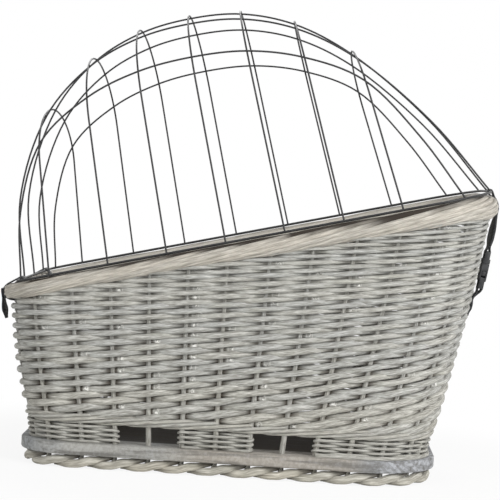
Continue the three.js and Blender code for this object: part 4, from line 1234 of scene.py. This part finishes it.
# Two layers on a middle line that open into an eye round the bar at either end, or close where there is none
def doubledPath(rule, line, startRadius, endRadius):
    line = evenPath(line, rule["step"])
    total = (len(line) - 1) * rule["step"]
    sides = {1: [], -1: []}
    leans = []
    for k, point in enumerate(line):
        before, after = line[max(k - 1, 0)], line[min(k + 1, len(line) - 1)]
        along = (after - before).normalized()
        lift = Vector((-along.y, along.x))
        gone = k * rule["step"]
        half = rule["pair"]
        for radius, away in ((startRadius, gone), (endRadius, total - gone)):
            half = between(half, radius, smoothStep(rule["easeLength"], 0, away))
        turned = smoothStep(*rule["turnFrom"], gone / total) * smoothStep(*rule["turnTo"], gone / total)
        leans.append(lift * -math.tan(math.radians(rule["turn"])) * turned)
        for side in sides:
            sides[side].append(point + lift * half * side)

    def cap(centre, inside, radius):
        ahead = (centre - inside).normalized()
        lift = Vector((-ahead.y, ahead.x))
        turns = [math.pi * k / rule["capSteps"] for k in range(1, rule["capSteps"])]
        return [centre + (lift * math.cos(turn) + ahead * math.sin(turn)) * radius for turn in turns]

    flat = [Vector((0, 0))] * (rule["capSteps"] - 1)
    path = sides[1] + cap(line[-1], line[-2], endRadius)
    path += sides[-1][::-1] + cap(line[0], line[1], startRadius)
    return path, leans + flat + leans[::-1] + flat


lean = math.radians(closure["lean"])
hang = Vector((-math.sin(lean), -math.cos(lean)))
leaveAngle = math.atan(-math.tan(lean) * basketPlan["highBorderHeight"] / basketPlan["borderWidth"])
leave = overBorder(closure, leaveAngle)
maleBar = leave + hang * (closure["reach"] + closure["barRadius"])
frameEnd = sum(closure[part] for part in ("reach", "maleLength", "femaleLength", "frameLength"))
femaleBar = leave + hang * (frameEnd - closure["barRadius"])
barEye, ringEye = (radius + closure["barGap"] + closure["layer"] / 2
                   for radius in (closure["barRadius"], cageShape["ringRadius"]))


def upperLine(rule):
    angles = [math.radians(degrees) for degrees in rule["bends"]]
    bends = [overBorder(rule, angle) for angle in angles if angle > leaveAngle]
    return [Vector((ringPlan["right"], 0))] + bends + [leave, maleBar]


def wallAnchor(rule, drop):
    place = rule["anchorPlace"]
    return toRim(wallPoint(place, borderLevel(place, 1) - drop, rule["wallHalf"] + rule["stand"]))


def lowerLine(rule):
    top = wallAnchor(rule, rule["anchorDrop"])
    end = wallAnchor(rule, rule["anchorDrop"] + rule["anchorLength"])
    ease = (femaleBar - top).length / 2
    pulls = (femaleBar, femaleBar + hang * ease, top - (end - top).normalized() * ease, top)
    line = []
    for step in range(rule["anchorSteps"] + 1):
        t = step / rule["anchorSteps"]
        weights = ((1 - t) ** 3, 3 * t * (1 - t) ** 2, 3 * t * t * (1 - t), t ** 3)
        line.append(sum((pull * weight for pull, weight in zip(pulls, weights)), Vector((0, 0))))
    return line + [end]


closureBands = {
    "closure_strap_upper": ("closure_strap", upperLine(closure), ringEye, barEye),
    "closure_strap_lower": ("basket", lowerLine(closure), barEye, closure["pair"]),
}
for node, (body, line, startRadius, endRadius) in closureBands.items():
    path, leans = doubledPath(closure, line, startRadius, endRadius)
    band = {"path": path, "leans": leans, "v": closure["offset"], "closed": True, "width": closure["width"],
            "thickness": closure["layer"]}
    addWebbing(node, [band], body)
print("closure strap threaded")

# Buckle: the frame's own solids with their edges rounded as in a moulded piece
buckle = {
    "edge": 0.45, "edgeSteps": 3, "sharpAngle": 35, "flatAngle": 2, "mergeWithin": 0.001,
    "bodies": {"buckle_male": "closure_strap", "buckle_female": "basket",
               "buckle_arm_near": "arm_near", "buckle_arm_far": "arm_far"},
}


def mouldedMesh(rule, node):
    built = bmesh.new()
    built.from_mesh(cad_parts[node].data)
    bmesh.ops.remove_doubles(built, verts=built.verts, dist=rule["mergeWithin"] * mm)
    flat = math.radians(rule["flatAngle"])
    bmesh.ops.dissolve_limit(built, angle_limit=flat, verts=built.verts, edges=built.edges)
    holder = addObject(node + "_mould", meshFrom(built, node + "_mould", blackPlastic))
    bevel = holder.modifiers.new("softEdges", "BEVEL")
    bevel.width, bevel.segments = rule["edge"] * mm, rule["edgeSteps"]
    bevel.limit_method, bevel.angle_limit = "ANGLE", math.radians(rule["sharpAngle"])
    bevel.use_clamp_overlap = True
    return smoothFaces(plainMesh(holder, node + "_moulded"), rule["sharpAngle"])


for node, body in buckle["bodies"].items():
    addPiece(node + "_moulded", mouldedMesh(buckle, node), body, [node])
print("buckle moulded")

# Floor, soft light and white surroundings, in metres
studio = {
    "floorSize": 8.0, "floorColour": (246, 246, 245), "floorRoughness": 0.9,
    "whiteSpan": (0.3, 0.55, 0.88, 1.0), "worldStrength": 0.38,
    "lights": {
        "keyLight": {"place": (1.35, -1.45, 1.0), "aim": (0, 0, 0.2), "size": (0.9, 0.9), "power": 35.5},
        "fillLight": {"place": (-1.6, -2.2, 1.0), "aim": (0, 0, 0.2), "size": (1.2, 1.2), "power": 18.0},
        "backLight": {"place": (-0.4, 2.3, 1.7), "aim": (0, 0, 0.25), "size": (1.4, 1.0), "power": 16.0},
    },
}


# What the camera, gloss and glass see, as against what lights the object
def seenDirectly(tree):
    rays = addNode(tree, "ShaderNodeLightPath").outputs
    clear = calculate(tree, "MAXIMUM", rays["Is Glossy Ray"], rays["Is Transmission Ray"])
    return calculate(tree, "MAXIMUM", rays["Is Camera Ray"], clear)


def makeFloor(look):
    half = look["floorSize"] / 2
    mesh = bpy.data.meshes.new("floor")
    corners = [(-half, -half, 0), (half, -half, 0), (half, half, 0), (-half, half, 0)]
    mesh.from_pydata(corners, [], [(0, 1, 2, 3)])
    material, tree, shader = newMaterial("paleFloor")
    shader.inputs["Base Color"].default_value = colour(look["floorColour"])
    shader.inputs["Roughness"].default_value = look["floorRoughness"]
    shader.inputs["Specular IOR Level"].default_value = 0.0
    away = addNode(tree, "ShaderNodeVectorMath", {0: objectPlace(tree)}, operation="LENGTH").outputs["Value"]
    white = multiply(tree, mapRange(tree, away, *look["whiteSpan"]), seenDirectly(tree))
    glow = addNode(tree, "ShaderNodeEmission").outputs[0]
    mix = addNode(tree, "ShaderNodeMixShader", {0: white, 1: shader.outputs[0], 2: glow})
    feed(tree, tree.nodes["Material Output"].inputs["Surface"], mix.outputs[0])
    mesh.materials.append(material)
    floor = addObject("floor", mesh)


def makeWorld(look):
    world = bpy.data.worlds.new("studio")
    world.use_nodes = True
    scene.world = world
    tree = world.node_tree
    dim = look["worldStrength"]
    background = tree.nodes["Background"]
    background.inputs["Color"].default_value = (1, 1, 1, 1)
    strength = calculate(tree, "MULTIPLY_ADD", seenDirectly(tree), 1 - dim, dim)
    feed(tree, background.inputs["Strength"], strength)


def addSoftLight(name, look):
    data = bpy.data.lights.new(name, "AREA")
    data.shape = "RECTANGLE"
    data.size, data.size_y = look["size"]
    data.energy = look["power"]
    lamp = addObject(name, data)
    lamp.location = look["place"]
    lamp.rotation_euler = (Vector(look["aim"]) - lamp.location).to_track_quat("-Z", "Y").to_euler()


makeFloor(studio)
makeWorld(studio)
for name, look in studio["lights"].items():
    addSoftLight(name, look)
print("studio lit")
